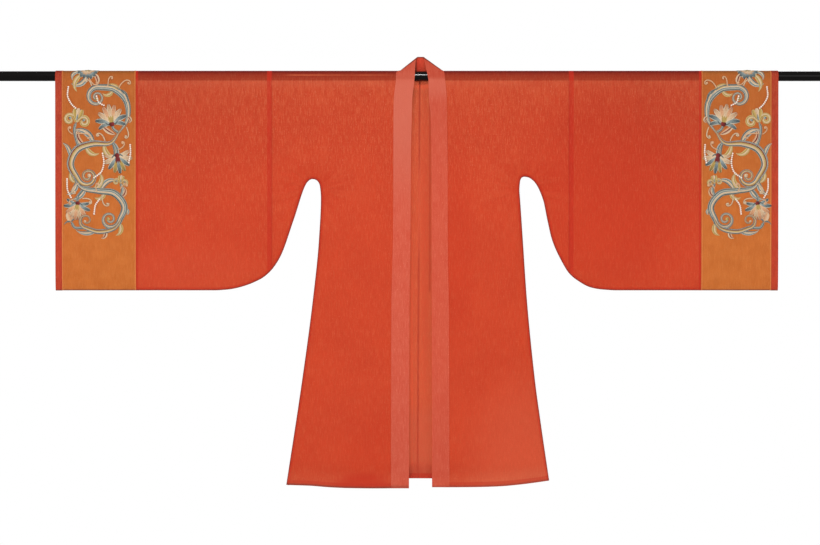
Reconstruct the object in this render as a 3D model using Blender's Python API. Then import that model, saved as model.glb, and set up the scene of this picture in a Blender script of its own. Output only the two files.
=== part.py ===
"""A big-sleeved hanfu outer robe with a parallel open front, hung through its sleeves on a straight rod.

Metres, +Z up. The origin is the middle of the rod's axis. +X runs along the rod to the right as seen
from the front of the robe, and +Y from its front to its back. Left and right are as seen from the front.

The cloth is one surface, worked out from the robe's outline: front and back part over the rod, hang up to
its width apart, and meet at the underarm and side seams. Each piece that is cut and sewn is a stretch of
that surface, given the thickness of its wall.
"""

import math
from collections import namedtuple

import bpy
from mathutils import Vector

# The rod
ROD_RADIUS = 0.015
ROD_HALF_LENGTH = 1.320
ROD_CHAMFER = 0.0015
ROD_SIDES = 32

# The cloth
SEAM = 0.0003  # between neighbouring pieces, and between cloth and rod
WALL = 0.0012  # one layer
BINDING_WALL = 0.0016  # the folded strip at the wrist
COLLAR_WALL = 0.0020  # the doubled collar band
HEM_TURN = 0.016  # depth of the turned-up hem
HEM_LAYER = 0.0010  # what the turned-up layer adds inside
HEM_STEP = 0.002  # length over which the wall thickens into the hem
SLEEVE_BOTTOM = -0.6532
SEAM_CURVE = 0.0024  # how tightly front and back turn into each other at a seam
ROD_REACH = 0.060  # depth below the rod over which its width still spreads the cloth
SWAY = 0.0042  # how far the skirt sways out of its plane at the hem
SWAY_WAVE = 0.46  # width of one wave of that sway
SWAY_TOP = -0.35  # the skirt starts to sway here
SWAY_GROWTH = 1.5  # power of the depth with which the sway grows
SWAY_SHIFT = 0.15  # where the wave starts, as a share of its width
SWAY_SLANT = 0.20  # and how far it moves on from there down to the hem
BACK_HEM = -1.2285  # the back hem at its middle, above the front hem
BACK_SEAM = (0.0009, -0.0058)  # x of the centre-back seam at the neck and at the hem

# The cloth goes over the rod in facets whose inside just clears it.
FACET = math.radians(22.5)
ROD_CLEAR = (ROD_RADIUS + SEAM) / math.cos(FACET / 2)
OVER_ROD = ROD_CLEAR + WALL / 2
COLLAR_OVER_ROD = ROD_CLEAR + COLLAR_WALL / 2
SHOULDER_STEPS = 4  # facets from the top of the rod to its front or back
NECK_ANGLE = FACET  # the back neckline lies this far above the rod's axis
COLLAR_NECK_ANGLE = NECK_ANGLE + SEAM / COLLAR_OVER_ROD  # and the band's seam edge just above it
COLLAR_TOP = 0.0586  # the collar's fold and its upper edge at the back of the neck
COLLAR_FOLD_RADIUS = 0.0015
STEEPEST_SINE = 0.9999  # of the band's lean, where it lies round the rod

# One half of the robe, with x counted outwards from the middle. underarm and side_edge are its outline,
# from the flat sleeve bottom up to the armpit, and from there down to the hem. seam_edge and free_edge
# are the collar band's edges below the rod's axis, and shoulder is its seam edge over the rod, up to neck.
# Above the rod the free edge passes free_top and ends at fold_end, where the band folds to the back.
Half = namedtuple(
    "Half",
    "name side wrist binding cuff extension underarm side_edge hem shoulder neck seam_edge free_edge "
    "fold_end free_top",
)
Place = namedtuple("Place", "x z")
Turn = namedtuple("Turn", "degrees x")

LEFT = Half(
    name="left",
    side=-1,
    wrist=1.1120,
    binding=1.0920,
    cuff=0.8670,
    extension=0.4530,
    underarm=(
        Place(0.620, SLEEVE_BOTTOM),
        Place(0.585, -0.6505),
        Place(0.550, -0.6435),
        Place(0.489, -0.6195),
        Place(0.459, -0.5960),
        Place(0.428, -0.5515),
        Place(0.387, -0.4390),
        Place(0.349, -0.3290),
        Place(0.331, -0.3143),
    ),
    side_edge=(
        Place(0.331, -0.3143),
        Place(0.3185, -0.3170),
        Place(0.3122, -0.3220),
        Place(0.3063, -0.3350),
        Place(0.3033, -0.3720),
        Place(0.3094, -0.5000),
        Place(0.3280, -0.6830),
        Place(0.3605, -0.9270),
        Place(0.4090, -1.2468),
    ),
    hem=(
        Place(0.035, -1.2558),
        Place(0.123, -1.2568),
        Place(0.215, -1.2556),
        Place(0.276, -1.2530),
        Place(0.337, -1.2485),
        Place(0.409, -1.2468),
    ),
    shoulder=(
        Turn(0.0, 0.0741),
        Turn(22.5, 0.0739),
        Turn(45.0, 0.0722),
        Turn(67.5, 0.0672),
        Turn(90.0, 0.0616),
    ),
    neck=0.0616,
    seam_edge=(
        Place(0.0741, 0.0),
        Place(0.0746, -0.0120),
        Place(0.0809, -0.0680),
        Place(0.0821, -0.1180),
        Place(0.0833, -0.4660),
        Place(0.0885, -0.7100),
        Place(0.0897, -1.2565),
    ),
    free_edge=(
        Place(0.0172, 0.0),
        Place(0.0182, -0.0120),
        Place(0.0250, -0.0730),
        Place(0.0262, -0.1180),
        Place(0.0287, -0.2400),
        Place(0.0305, -0.5000),
        Place(0.0333, -0.7100),
        Place(0.0348, -1.2558),
    ),
    fold_end=0.0085,
    free_top=0.0140,
)
RIGHT = Half(
    name="right",
    side=1,
    wrist=1.0900,
    binding=1.0690,
    cuff=0.8560,
    extension=0.4530,
    underarm=(
        Place(0.590, SLEEVE_BOTTOM),
        Place(0.548, -0.6500),
        Place(0.517, -0.6435),
        Place(0.487, -0.6280),
        Place(0.456, -0.6035),
        Place(0.429, -0.5605),
        Place(0.402, -0.4995),
        Place(0.3875, -0.4385),
        Place(0.3747, -0.3775),
        Place(0.3530, -0.3290),
        Place(0.3345, -0.3115),
        Place(0.3170, -0.3066),
    ),
    side_edge=(
        Place(0.3170, -0.3066),
        Place(0.3085, -0.3105),
        Place(0.3054, -0.3165),
        Place(0.3020, -0.3470),
        Place(0.3042, -0.3780),
        Place(0.3124, -0.5000),
        Place(0.3249, -0.6830),
        Place(0.3493, -0.9270),
        Place(0.3658, -1.0490),
        Place(0.3930, -1.2340),
    ),
    hem=(
        Place(0.035, -1.2534),
        Place(0.182, -1.2520),
        Place(0.243, -1.2500),
        Place(0.304, -1.2450),
        Place(0.393, -1.2340),
    ),
    shoulder=(
        Turn(0.0, 0.0738),
        Turn(22.5, 0.0732),
        Turn(45.0, 0.0722),
        Turn(67.5, 0.0706),
        Turn(90.0, 0.0677),
    ),
    neck=0.0677,
    seam_edge=(
        Place(0.0738, 0.0),
        Place(0.0799, -0.0665),
        Place(0.0805, -0.1180),
        Place(0.0824, -0.2400),
        Place(0.0836, -0.5610),
        Place(0.0870, -0.7100),
        Place(0.0885, -1.2530),
    ),
    free_edge=(
        Place(0.0222, 0.0),
        Place(0.0241, -0.0120),
        Place(0.0262, -0.0730),
        Place(0.0308, -0.1180),
        Place(0.0336, -0.2400),
        Place(0.0342, -0.5000),
        Place(0.0354, -1.2534),
    ),
    fold_end=0.0092,
    free_top=0.0119,
)

# How the surface is divided, as shares of each stretch
SLEEVE_ROWS = (0.06, 0.16, 0.30, 0.47, 0.64, 0.79, 0.89, 0.95, 0.983, 0.996, 1.0)
SKIRT_COLUMNS = (0.0, 0.008, 0.04, 0.12, 0.26, 0.44, 0.63, 0.82, 1.0)
SKIRT_ROWS = (0.0, 0.003, 0.008, 0.022, 0.04, 0.062, 0.12, 0.2, 0.3, 0.41, 0.52, 0.63, 0.74, 0.84, 0.92)
BACK_COLUMNS = (0.0, 0.5, 1.0)
SLEEVE_STEP = 0.042  # along the underarm seam of the sleeve extension
BODY_STEP = 0.030  # and of the body
CUFF_STEP = 0.076
EDGE_SAMPLES = 7  # straight steps between two rows of an outline's table, to measure distances from
COLLAR_ACROSS = (0.0, 0.33, 0.67, 1.0)
COLLAR_RISE = (0.12, 0.25, 0.50, 0.75, 0.95, 1.0)  # from the rod's axis up to the fold
FREE_TOP_RISE = 0.8  # where in that rise the free edge passes free_top
COLUMN_SAMPLES = 200  # steps in which a sleeve's bottom edge is measured
# Rows of the collar at the back of the neck, from the fold to the centre back: the angle of the seam edge
# over the rod, its share of the way to the middle, and the share of the free edge's way.
NeckRow = namedtuple("NeckRow", "degrees seam free")
COLLAR_NECK = (
    NeckRow(80.0, 0.0, 0.10),
    NeckRow(62.0, 0.0, 0.25),
    NeckRow(42.0, 0.0, 0.40),
    NeckRow(math.degrees(COLLAR_NECK_ANGLE), 0.0, 0.55),
    NeckRow(math.degrees(COLLAR_NECK_ANGLE), 0.5, 0.80),
)

SHARP_ANGLE = math.radians(40)

# Colours as linear RGB, with roughness and metallic
FINISHES = {
    "robe_cloth": ((0.62, 0.066, 0.024), 0.70, 0.0),
    "collar_cloth": ((0.66, 0.115, 0.062), 0.68, 0.0),
    "cuff_cloth": ((0.57, 0.155, 0.037), 0.68, 0.0),
    "binding_cloth": ((0.48, 0.060, 0.026), 0.70, 0.0),
    "black_gloss": ((0.006, 0.006, 0.006), 0.18, 0.0),
}


def smooth(table, key):
    """Value at key of a smooth curve through a table's (key, value) rows, without overshoot."""
    rows = sorted(table)
    if key <= rows[0][0]:
        return rows[0][1]
    if key >= rows[-1][0]:
        return rows[-1][1]
    rises = [(b[1] - a[1]) / (b[0] - a[0]) for a, b in zip(rows, rows[1:])]
    slopes = [rises[0]]
    for before, after in zip(rises, rises[1:]):
        slopes.append(2 * before * after / (before + after) if before * after > 0 else 0.0)
    slopes.append(rises[-1])
    i = max(n for n, row in enumerate(rows) if row[0] <= key)
    width = rows[i + 1][0] - rows[i][0]
    t = (key - rows[i][0]) / width
    return (
        rows[i][1] * (1 + 2 * t) * (1 - t) ** 2
        + rows[i + 1][1] * t * t * (3 - 2 * t)
        + width * (slopes[i] * t * (1 - t) ** 2 - slopes[i + 1] * t * t * (1 - t))
    )


def x_at(table, z):
    return smooth([(p.z, p.x) for p in table], z)


def z_at(table, x):
    return smooth([(p.x, p.z) for p in table], x)


def armpit(half):
    return half.underarm[-1]


def steps(start, end, count):
    """count points from start towards end, without the end."""
    return [start + (end - start) * n / count for n in range(count)]


def edge_line(half):
    """The robe's edge as short straight steps: sleeve bottom, underarm, side."""
    line = [(half.wrist, SLEEVE_BOTTOM)]
    for a, b in zip(half.underarm, half.underarm[1:]):
        line += [(x, z_at(half.underarm, x)) for x in steps(a.x, b.x, EDGE_SAMPLES)]
    for a, b in zip(half.side_edge, half.side_edge[1:]):
        line += [(x_at(half.side_edge, z), z) for z in steps(a.z, b.z, EDGE_SAMPLES)]
    return line + [tuple(half.side_edge[-1])]


EDGE_LINES = {half.name: edge_line(half) for half in (LEFT, RIGHT)}


def edge_distance(x, z, half):
    """How far a point of a panel is from the seam that joins front and back."""
    nearest = math.inf
    line = EDGE_LINES[half.name]
    for (ax, az), (bx, bz) in zip(line, line[1:]):
        along_x, along_z = bx - ax, bz - az
        share = ((x - ax) * along_x + (z - az) * along_z) / (along_x**2 + along_z**2)
        share = min(1.0, max(0.0, share))
        nearest = min(nearest, math.hypot(x - ax - share * along_x, z - az - share * along_z))
    return nearest


def half_gap(x, z, half):
    """Half the distance between front and back: nothing at the seam, the rod's width near the rod."""
    free = SEAM_CURVE * math.acosh(1 + edge_distance(x, z, half) / SEAM_CURVE)
    return free + (OVER_ROD - free) * math.exp(z / ROD_REACH)


def sway(x, z):
    """The skirt's slow wave out of its plane, the same for front and back."""
    depth = max(0.0, (SWAY_TOP - z) / (SWAY_TOP - BACK_HEM))
    turn = x / SWAY_WAVE + SWAY_SHIFT + SWAY_SLANT * depth
    return SWAY * depth**SWAY_GROWTH * math.sin(2 * math.pi * turn)


def hanging(x, z, half, face, proud=0.0):
    """A point of the cloth below the rod's axis. face is -1 for the front and 1 for the back."""
    across = half.side * x
    return (across, face * (half_gap(x, z, half) + proud) + sway(across, z), z)


def joined(x, z, half):
    """A point of the seam that joins front and back."""
    across = half.side * x
    return (across, sway(across, z), z)


def over_rod(x, angle, half, face):
    return (half.side * x, face * OVER_ROD * math.cos(angle), OVER_ROD * math.sin(angle))


class Sheet:
    """Four-cornered faces of a surface without thickness. Equal points are one point."""

    def __init__(self):
        self.points, self.extra, self.faces, self.index = [], [], [], {}

    def point(self, place, extra):
        key = tuple(round(value, 6) for value in place)
        if key not in self.index:
            self.index[key] = len(self.points)
            self.points.append(Vector(place))
            self.extra.append(extra)
        return self.index[key]

    def patch(self, rows, face, extra=None):
        """Adds a grid of points. face is the side of the robe that it is on, so it faces out."""
        extra = extra or [0.0] * len(rows)
        ids = [[self.point(p, more) for p in row] for row, more in zip(rows, extra)]
        quads = []
        for upper, lower in zip(ids, ids[1:]):
            quads += list(zip(upper, upper[1:], lower[1:], lower))
        a, b, c, _ = (self.points[i] for i in quads[len(quads) // 2])
        if (b - a).cross(c - a).y * face < 0:
            quads = [quad[::-1] for quad in quads]
        self.faces += quads

    def wall(self, name, thickness, material):
        """Gives the surface its thickness, half to each side, and makes it an object."""
        normals = [Vector() for _ in self.points]
        around = [[] for _ in self.points]
        edges = {}
        for face in self.faces:
            a, b, c, d = (self.points[i] for i in face)
            normal = (c - a).cross(d - b).normalized()
            for i in face:
                normals[i] += normal
                around[i].append(normal)
            for edge in zip(face, face[1:] + face[:1]):
                edges[tuple(sorted(edge))] = None if tuple(sorted(edge)) in edges else edge
        outer, inner = [], []
        for point, total, near, extra in zip(self.points, normals, around, self.extra):
            normal = total.normalized()
            reach = len(near) / sum(normal.dot(n) for n in near)
            outer.append(point + normal * reach * thickness / 2)
            inner.append(point - normal * reach * (thickness / 2 + extra))
        count = len(outer)
        faces = list(self.faces)
        faces += [tuple(count + i for i in reversed(face)) for face in self.faces]
        faces += [(b, a, count + a, count + b) for a, b in filter(None, edges.values())]
        mesh = bpy.data.meshes.new(name)
        mesh.from_pydata(outer + inner, [], faces)
        return add(name, mesh, material)


def add(name, mesh, material):
    mesh.materials.append(finish(material))
    mesh.shade_smooth()
    mesh.set_sharp_from_angle(angle=SHARP_ANGLE)
    made = bpy.data.objects.new(name, mesh)
    bpy.context.scene.collection.objects.link(made)
    return made


def finish(name):
    if name in bpy.data.materials:
        return bpy.data.materials[name]
    colour, roughness, metallic = FINISHES[name]
    material = bpy.data.materials.new(name)
    material.use_nodes = True
    shader = material.node_tree.nodes["Principled BSDF"]
    shader.inputs["Base Color"].default_value = (*colour, 1.0)
    shader.inputs["Roughness"].default_value = roughness
    shader.inputs["Metallic"].default_value = metallic
    return material


def shoulder_angles():
    """Angles over the rod from its top to just above its axis."""
    return [n * FACET for n in range(SHOULDER_STEPS, 0, -1)]


def sleeve_bottom(half, x):
    return z_at(half.underarm, x)


def sleeve_columns(half, start, end, step):
    """x from start in to end, about a step apart along the bottom edge."""
    fine = [*steps(start, end, COLUMN_SAMPLES), end]
    runs = [0.0]
    for a, b in zip(fine, fine[1:]):
        runs.append(runs[-1] + math.hypot(b - a, sleeve_bottom(half, b) - sleeve_bottom(half, a)))
    count = max(1, round(runs[-1] / step))
    return [smooth(list(zip(runs, fine)), runs[-1] * n / count) for n in range(count + 1)]


def sleeve_rows(half, columns, face):
    """Rows of a sleeve's front or back, from the top of the rod down to the seam at its bottom."""
    rows = [[over_rod(x, angle, half, face) for x in columns] for angle in shoulder_angles()]
    for share in (0.0, *SLEEVE_ROWS[:-1]):
        rows.append([hanging(x, share * sleeve_bottom(half, x), half, face) for x in columns])
    rows.append([joined(x, sleeve_bottom(half, x), half) for x in columns])
    return rows


def tube(name, half, outer, inner, step, thickness, material):
    """A ring-shaped piece of the sleeve between two seams."""
    sheet = Sheet()
    columns = sleeve_columns(half, outer, inner, step)
    for face in (-1, 1):
        sheet.patch(sleeve_rows(half, columns, face), face)
    return sheet.wall(f"{name}_{half.name}", thickness, material)


def front_edge(half, z):
    """x of the body's front edge, where the collar band is sewn on."""
    return x_at(half.seam_edge, z)


def front_edge_over(half, angle):
    return smooth([(turn.degrees, turn.x) for turn in half.shoulder], math.degrees(angle))


def yoke_rows(half, face):
    """Rows from the armpit in to the front edge, or at the back to the line below the neck's end."""
    start, rows = armpit(half), []
    for angle in shoulder_angles():
        end = (front_edge_over(half, angle) if face < 0 else half.neck) + SEAM / 2
        rows.append([over_rod(start.x + s * (end - start.x), angle, half, face) for s in SKIRT_COLUMNS])
    for share in (0.0, *SLEEVE_ROWS):
        z = share * start.z
        end = (front_edge(half, z) if face < 0 else half.neck) + SEAM / 2
        rows.append([hanging(start.x + s * (end - start.x), z, half, face) for s in SKIRT_COLUMNS])
    rows[-1][0] = joined(start.x, start.z, half)
    return rows


def skirt_shares():
    """Shares of the way from armpit to hem, and what the turned hem adds inside at each."""
    length = armpit(LEFT).z - LEFT.hem[0].z
    turn = 1 - HEM_TURN / length
    return [(share, 0.0) for share in (*SKIRT_ROWS, turn - HEM_STEP / length)] + [(turn, 1.0), (1.0, 1.0)]


def hem_z(half, x, face):
    """The front hem follows its table; the back hem rises from the side seam to the middle."""
    corner = half.side_edge[-1]
    if face < 0:
        return z_at(half.hem, x)
    return BACK_HEM + (corner.z - BACK_HEM) * (x / corner.x) ** 2


def skirt_point(half, face, down, across, end_at):
    """A point of the skirt, down from armpit to hem and across from the side seam to end_at(z)."""
    top, corner = armpit(half), half.side_edge[-1]
    side_z = top.z + down * (corner.z - top.z)
    side_x = x_at(half.side_edge, side_z)
    hem_x = corner.x + across * (end_at(corner.z) - corner.x)
    z = top.z + down * (hem_z(half, hem_x, face) - top.z)
    if across == 0:
        return joined(side_x, z, half)
    return hanging(side_x + across * (end_at(z) - side_x), z, half, face)


def skirt_rows(half, face):
    def end_at(z):
        return (front_edge(half, z) if face < 0 else half.neck) + SEAM / 2

    return [
        [skirt_point(half, face, down, across, end_at) for across in SKIRT_COLUMNS]
        for down, _ in skirt_shares()
    ]


def back_middle(half, z):
    """x of the centre-back seam on one half, counted outwards from the middle."""
    top, bottom = BACK_SEAM
    return half.side * (top + (bottom - top) * z / BACK_HEM) + SEAM / 2


def back_rows(half):
    """Rows of the back between the line below the neck's end and the centre-back seam."""
    start, top = half.neck + SEAM / 2, armpit(half)

    def columns(z):
        return [start + s * (back_middle(half, z) - start) for s in BACK_COLUMNS]

    rows = [[over_rod(x, NECK_ANGLE, half, 1) for x in columns(0.0)]]
    for share in (0.0, *SLEEVE_ROWS[:-1]):
        rows.append([hanging(x, share * top.z, half, 1) for x in columns(share * top.z)])
    extra = [0.0] * len(rows)
    for down, turned in skirt_shares():
        edge_z = top.z + down * (hem_z(half, start, 1) - top.z)
        row = [skirt_point(half, 1, down, 1.0, lambda z: start)]
        for x in columns(edge_z)[1:]:
            row.append(hanging(x, top.z + down * (hem_z(half, x, 1) - top.z), half, 1))
        rows.append(row)
        extra.append(turned * HEM_LAYER)
    return rows, extra


def body(half):
    """One half of the body in one piece over the shoulder, with the root of its sleeve."""
    sheet = Sheet()
    columns = sleeve_columns(half, half.extension - SEAM / 2, armpit(half).x, BODY_STEP)
    turned = [share * HEM_LAYER for _, share in skirt_shares()]
    for face in (-1, 1):
        sheet.patch(sleeve_rows(half, columns, face), face)
        sheet.patch(yoke_rows(half, face), face)
        sheet.patch(skirt_rows(half, face), face, turned)
    rows, extra = back_rows(half)
    sheet.patch(rows, 1, extra)
    return sheet.wall(f"body_{half.name}", WALL, "robe_cloth")


def fold_height(half, x):
    """Height of the line where the collar band folds from front to back, over the place x."""
    share = (half.neck - x) / (half.neck - half.fold_end)
    return COLLAR_OVER_ROD + (COLLAR_TOP - COLLAR_OVER_ROD) * min(1.0, max(0.0, share))


def tent(z, height):
    """Half the distance between the two layers of a band that stands over the rod and folds at a height."""
    centre = height - COLLAR_FOLD_RADIUS
    sine = min(STEEPEST_SINE, (COLLAR_OVER_ROD - COLLAR_FOLD_RADIUS) / centre)
    if z < COLLAR_OVER_ROD * sine:
        return math.sqrt(COLLAR_OVER_ROD**2 - max(0.0, z) ** 2)
    if z < centre + COLLAR_FOLD_RADIUS * sine:
        return (COLLAR_OVER_ROD - z * sine) / math.sqrt(1 - sine**2)
    return math.sqrt(max(0.0, COLLAR_FOLD_RADIUS**2 - (z - centre) ** 2))


def standing(x, z, half, face):
    """A point of the collar band above the rod's axis."""
    height = fold_height(half, x)
    return (half.side * x, face * tent(min(z, height), height), min(z, height))


def collar_below(half):
    """Rows of the collar band from the hem up to the rod's axis, from its seam edge to its free edge."""
    levels = [share * armpit(half).z for share in (0.0, *SLEEVE_ROWS)]
    edge = [skirt_rows(half, -1)[n][-1][2] for n in range(1, len(skirt_shares()))]
    rows = []
    for z in reversed(levels + edge):
        outer, inner = front_edge(half, z) - SEAM / 2, x_at(half.free_edge, z)
        proud = (COLLAR_WALL - WALL) / 2
        rows.append([hanging(outer + s * (inner - outer), z, half, -1, proud) for s in COLLAR_ACROSS])
    return rows


def collar_rise(half):
    """Rows of the collar band from the rod's axis up to its fold."""
    rows = []
    for rise in COLLAR_RISE:
        angle = rise * math.pi / 2
        outer = front_edge_over(half, angle) - SEAM / 2
        edge = [(0.0, half.free_edge[0].x), (FREE_TOP_RISE, half.free_top), (1.0, half.fold_end)]
        inner = smooth(edge, rise)
        row = []
        for s in COLLAR_ACROSS:
            x = outer + s * (inner - outer)
            top = COLLAR_OVER_ROD + s * (COLLAR_TOP - COLLAR_OVER_ROD)
            row.append(standing(x, top * ((1 - s) * math.sin(angle) + s * rise), half, -1))
        rows.append(row)
    return rows


def collar_neck(half):
    """Rows of the collar band at the back of the neck, from its fold to just short of the middle."""
    rows = []
    for step in COLLAR_NECK:
        outer = (half.neck - SEAM / 2) * (1 - step.seam)
        inner = half.fold_end * (1 - step.free)
        low = COLLAR_OVER_ROD * math.sin(math.radians(step.degrees))
        rise = COLLAR_TOP - low
        rows.append([standing(outer + s * (inner - outer), low + s * rise, half, 1) for s in COLLAR_ACROSS])
    return rows


def collar_band():
    """The whole band: up one front edge, over and round the back of the neck, and down the other."""
    sheet = Sheet()
    low = COLLAR_OVER_ROD * math.sin(COLLAR_NECK_ANGLE)
    middle = [standing(0.0, low + s * (COLLAR_TOP - low), LEFT, 1) for s in COLLAR_ACROSS]
    for half in (LEFT, RIGHT):
        front = collar_below(half) + collar_rise(half)
        sheet.patch(front, -1)
        sheet.patch([front[-1], *collar_neck(half), middle], 1)
    return sheet.wall("collar_band", COLLAR_WALL, "collar_cloth")


def rod():
    """The straight rod, with its edges broken at both ends."""
    profile = (
        (-ROD_HALF_LENGTH, ROD_RADIUS - ROD_CHAMFER),
        (-ROD_HALF_LENGTH + ROD_CHAMFER, ROD_RADIUS),
        (ROD_HALF_LENGTH - ROD_CHAMFER, ROD_RADIUS),
        (ROD_HALF_LENGTH, ROD_RADIUS - ROD_CHAMFER),
    )
    turns = [2 * math.pi * n / ROD_SIDES for n in range(ROD_SIDES)]
    points = [(x, r * math.cos(t), r * math.sin(t)) for x, r in profile for t in turns]
    faces = [tuple(reversed(range(ROD_SIDES)))]
    for ring in range(len(profile) - 1):
        for n in range(ROD_SIDES):
            a, b = ring * ROD_SIDES + n, ring * ROD_SIDES + (n + 1) % ROD_SIDES
            faces.append((a, b, b + ROD_SIDES, a + ROD_SIDES))
    faces.append(tuple(range(len(points) - ROD_SIDES, len(points))))
    mesh = bpy.data.meshes.new("rod")
    mesh.from_pydata(points, [], faces)
    return add("rod", mesh, "black_gloss")


def build():
    for old in list(bpy.data.objects):
        bpy.data.objects.remove(old)
    rod()
    for half in (LEFT, RIGHT):
        body(half)
        tube("sleeve", half, half.cuff - SEAM / 2, half.extension + SEAM / 2, SLEEVE_STEP, WALL, "robe_cloth")
        tube("cuff_band", half, half.binding - SEAM / 2, half.cuff + SEAM / 2, CUFF_STEP, WALL, "cuff_cloth")
        tube(
            "wrist_binding",
            half,
            half.wrist,
            half.binding + SEAM / 2,
            CUFF_STEP,
            BINDING_WALL,
            "binding_cloth",
        )
    collar_band()


build()
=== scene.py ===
import math

import bmesh
import bpy
import numpy as np
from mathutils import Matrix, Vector


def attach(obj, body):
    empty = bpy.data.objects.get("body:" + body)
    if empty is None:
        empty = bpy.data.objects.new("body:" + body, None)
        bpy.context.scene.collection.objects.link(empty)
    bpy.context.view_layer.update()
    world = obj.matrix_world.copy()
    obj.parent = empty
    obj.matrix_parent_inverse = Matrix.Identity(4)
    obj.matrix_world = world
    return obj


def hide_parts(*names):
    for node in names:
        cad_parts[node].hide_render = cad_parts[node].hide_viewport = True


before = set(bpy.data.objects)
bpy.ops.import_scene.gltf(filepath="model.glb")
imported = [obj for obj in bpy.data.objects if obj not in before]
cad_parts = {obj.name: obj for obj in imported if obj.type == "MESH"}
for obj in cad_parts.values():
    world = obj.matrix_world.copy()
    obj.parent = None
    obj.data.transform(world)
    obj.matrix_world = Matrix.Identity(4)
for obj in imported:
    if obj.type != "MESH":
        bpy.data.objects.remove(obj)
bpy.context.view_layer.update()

scene = bpy.context.scene
print("frame loaded:", len(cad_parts), "nodes")


# shader helpers: a socket that takes part in sums, and a material that makes nodes

class Wire:
    def __init__(self, socket):
        self.socket = socket

    def maths(self, operation, first, second=None):
        tree = self.socket.id_data
        made = tree.nodes.new("ShaderNodeMath")
        made.operation = operation
        for place, value in zip(made.inputs, (first, second)):
            if isinstance(value, Wire):
                tree.links.new(value.socket, place)
            elif value is not None:
                place.default_value = value
        return Wire(made.outputs[0])

    def __pow__(self, other):
        return self.maths("POWER", self, other)

    def sine(self):
        return self.maths("SINE", self)

    def size(self):
        return self.maths("ABSOLUTE", self)

    def upTo(self, other):
        return self.maths("MINIMUM", self, other)

    def turnFrom(self, other):
        return self.maths("ARCTAN2", self, other)


for sign, name in (("add", "ADD"), ("sub", "SUBTRACT"), ("mul", "MULTIPLY")):
    setattr(Wire, f"__{sign}__", lambda self, other, name=name: self.maths(name, self, other))
    setattr(Wire, f"__r{sign}__", lambda self, other, name=name: self.maths(name, other, self))


class Finish:
    sockets = {"colour": "Base Color", "roughness": "Roughness", "normal": "Normal",
               "specular": "Specular IOR Level", "sheen": "Sheen Weight", "sheenRoughness": "Sheen Roughness",
               "coat": "Coat Weight", "coatRoughness": "Coat Roughness"}

    def __init__(self, name, kind=bpy.data.materials):
        self.owner = kind.new(name)
        self.owner.use_nodes = True
        self.tree = self.owner.node_tree
        self.tree.nodes.clear()

    def node(self, kind, sockets, output=0, **settings):
        made = self.tree.nodes.new(kind)
        for key, value in settings.items():
            setattr(made, key, value)
        for key, value in sockets.items():
            if isinstance(value, Wire):
                self.tree.links.new(value.socket, made.inputs[key])
            else:
                made.inputs[key].default_value = value
        return Wire(made.outputs[output]) if made.outputs else made

    def noise(self, x, y, z=0.0, scale=1.0, detail=1.0, roughness=0.5):
        place = self.node("ShaderNodeCombineXYZ", {"X": x, "Y": y, "Z": z})
        return self.node("ShaderNodeTexNoise", {"Vector": place, "Scale": scale, "Detail": detail,
                                                "Roughness": roughness})

    def parts(self, kind, output=0, **settings):
        split = self.node("ShaderNodeSeparateXYZ", {"Vector": self.node(kind, {}, output, **settings)})
        return [Wire(out) for out in split.socket.node.outputs]

    def clothPlace(self):
        return self.parts("ShaderNodeUVMap", uv_map="cloth")[:2]

    def objectPlace(self):
        return self.parts("ShaderNodeTexCoord", 3)

    def attribute(self, name):
        return self.node("ShaderNodeAttribute", {}, 2, attribute_name=name)

    def between(self, value, low, high, start=0.0, end=1.0):
        return self.node("ShaderNodeMapRange", {"Value": value, "From Min": low, "From Max": high,
                                                "To Min": start, "To Max": end},
                         interpolation_type="SMOOTHSTEP")

    def mix(self, share, first, second, blend="MIX"):
        first, second = (colour if isinstance(colour, Wire) else (*colour, 1.0) for colour in (first, second))
        return self.node("ShaderNodeMix", {0: share, 6: first, 7: second}, 2, data_type="RGBA",
                         blend_type=blend)

    def bump(self, height, distance):
        return self.node("ShaderNodeBump", {"Height": height, "Distance": distance, "Strength": 1.0})

    def principled(self, colour, **more):
        more["colour"] = colour if isinstance(colour, Wire) else (*colour, 1.0)
        sockets = {self.sockets[key]: value for key, value in more.items()}
        return self.node("ShaderNodeBsdfPrincipled", sockets)

    def finish(self, shader, output="ShaderNodeOutputMaterial"):
        self.node(output, {"Surface": shader})
        return self.owner


# the robe's outline, x counted outwards from the middle, and how the cloth hangs

leftHalf = {
    "side": -1, "wrist": 1.1120, "binding": 1.0920, "cuff": 0.8670, "extension": 0.4530, "neck": 0.0616,
    "underarm": [(0.620, -0.6532), (0.585, -0.6505), (0.550, -0.6435), (0.489, -0.6195), (0.459, -0.5960),
                 (0.428, -0.5515), (0.387, -0.4390), (0.349, -0.3290), (0.3415, -0.3196),
                 (0.3355, -0.3152), (0.3290, -0.3138)],
    "sideEdge": [(0.3290, -0.3138), (0.3235, -0.3145), (0.3185, -0.3164), (0.3140, -0.3195),
                 (0.3102, -0.3245), (0.3063, -0.3350), (0.3033, -0.3720), (0.3094, -0.5000),
                 (0.3280, -0.6830), (0.3605, -0.9270), (0.4090, -1.2468)],
    "hem": [(0.035, -1.2558), (0.123, -1.2568), (0.215, -1.2556), (0.276, -1.2530), (0.337, -1.2485),
            (0.409, -1.2468)],
    "shoulder": [(0.0, 0.0741), (22.5, 0.0739), (45.0, 0.0722), (67.5, 0.0672), (90.0, 0.0616)],
    "seamEdge": [(0.0741, 0.0), (0.0746, -0.0120), (0.0809, -0.0680), (0.0821, -0.1180),
                 (0.0833, -0.4660), (0.0885, -0.7100), (0.0897, -1.2565)],
    "freeEdge": [(0.0172, 0.0), (0.0182, -0.0120), (0.0250, -0.0730), (0.0262, -0.1180),
                 (0.0287, -0.2400), (0.0305, -0.5000), (0.0333, -0.7100), (0.0348, -1.2558)],
    "foldEnd": 0.0085, "freeTop": 0.0140,
}
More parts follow.
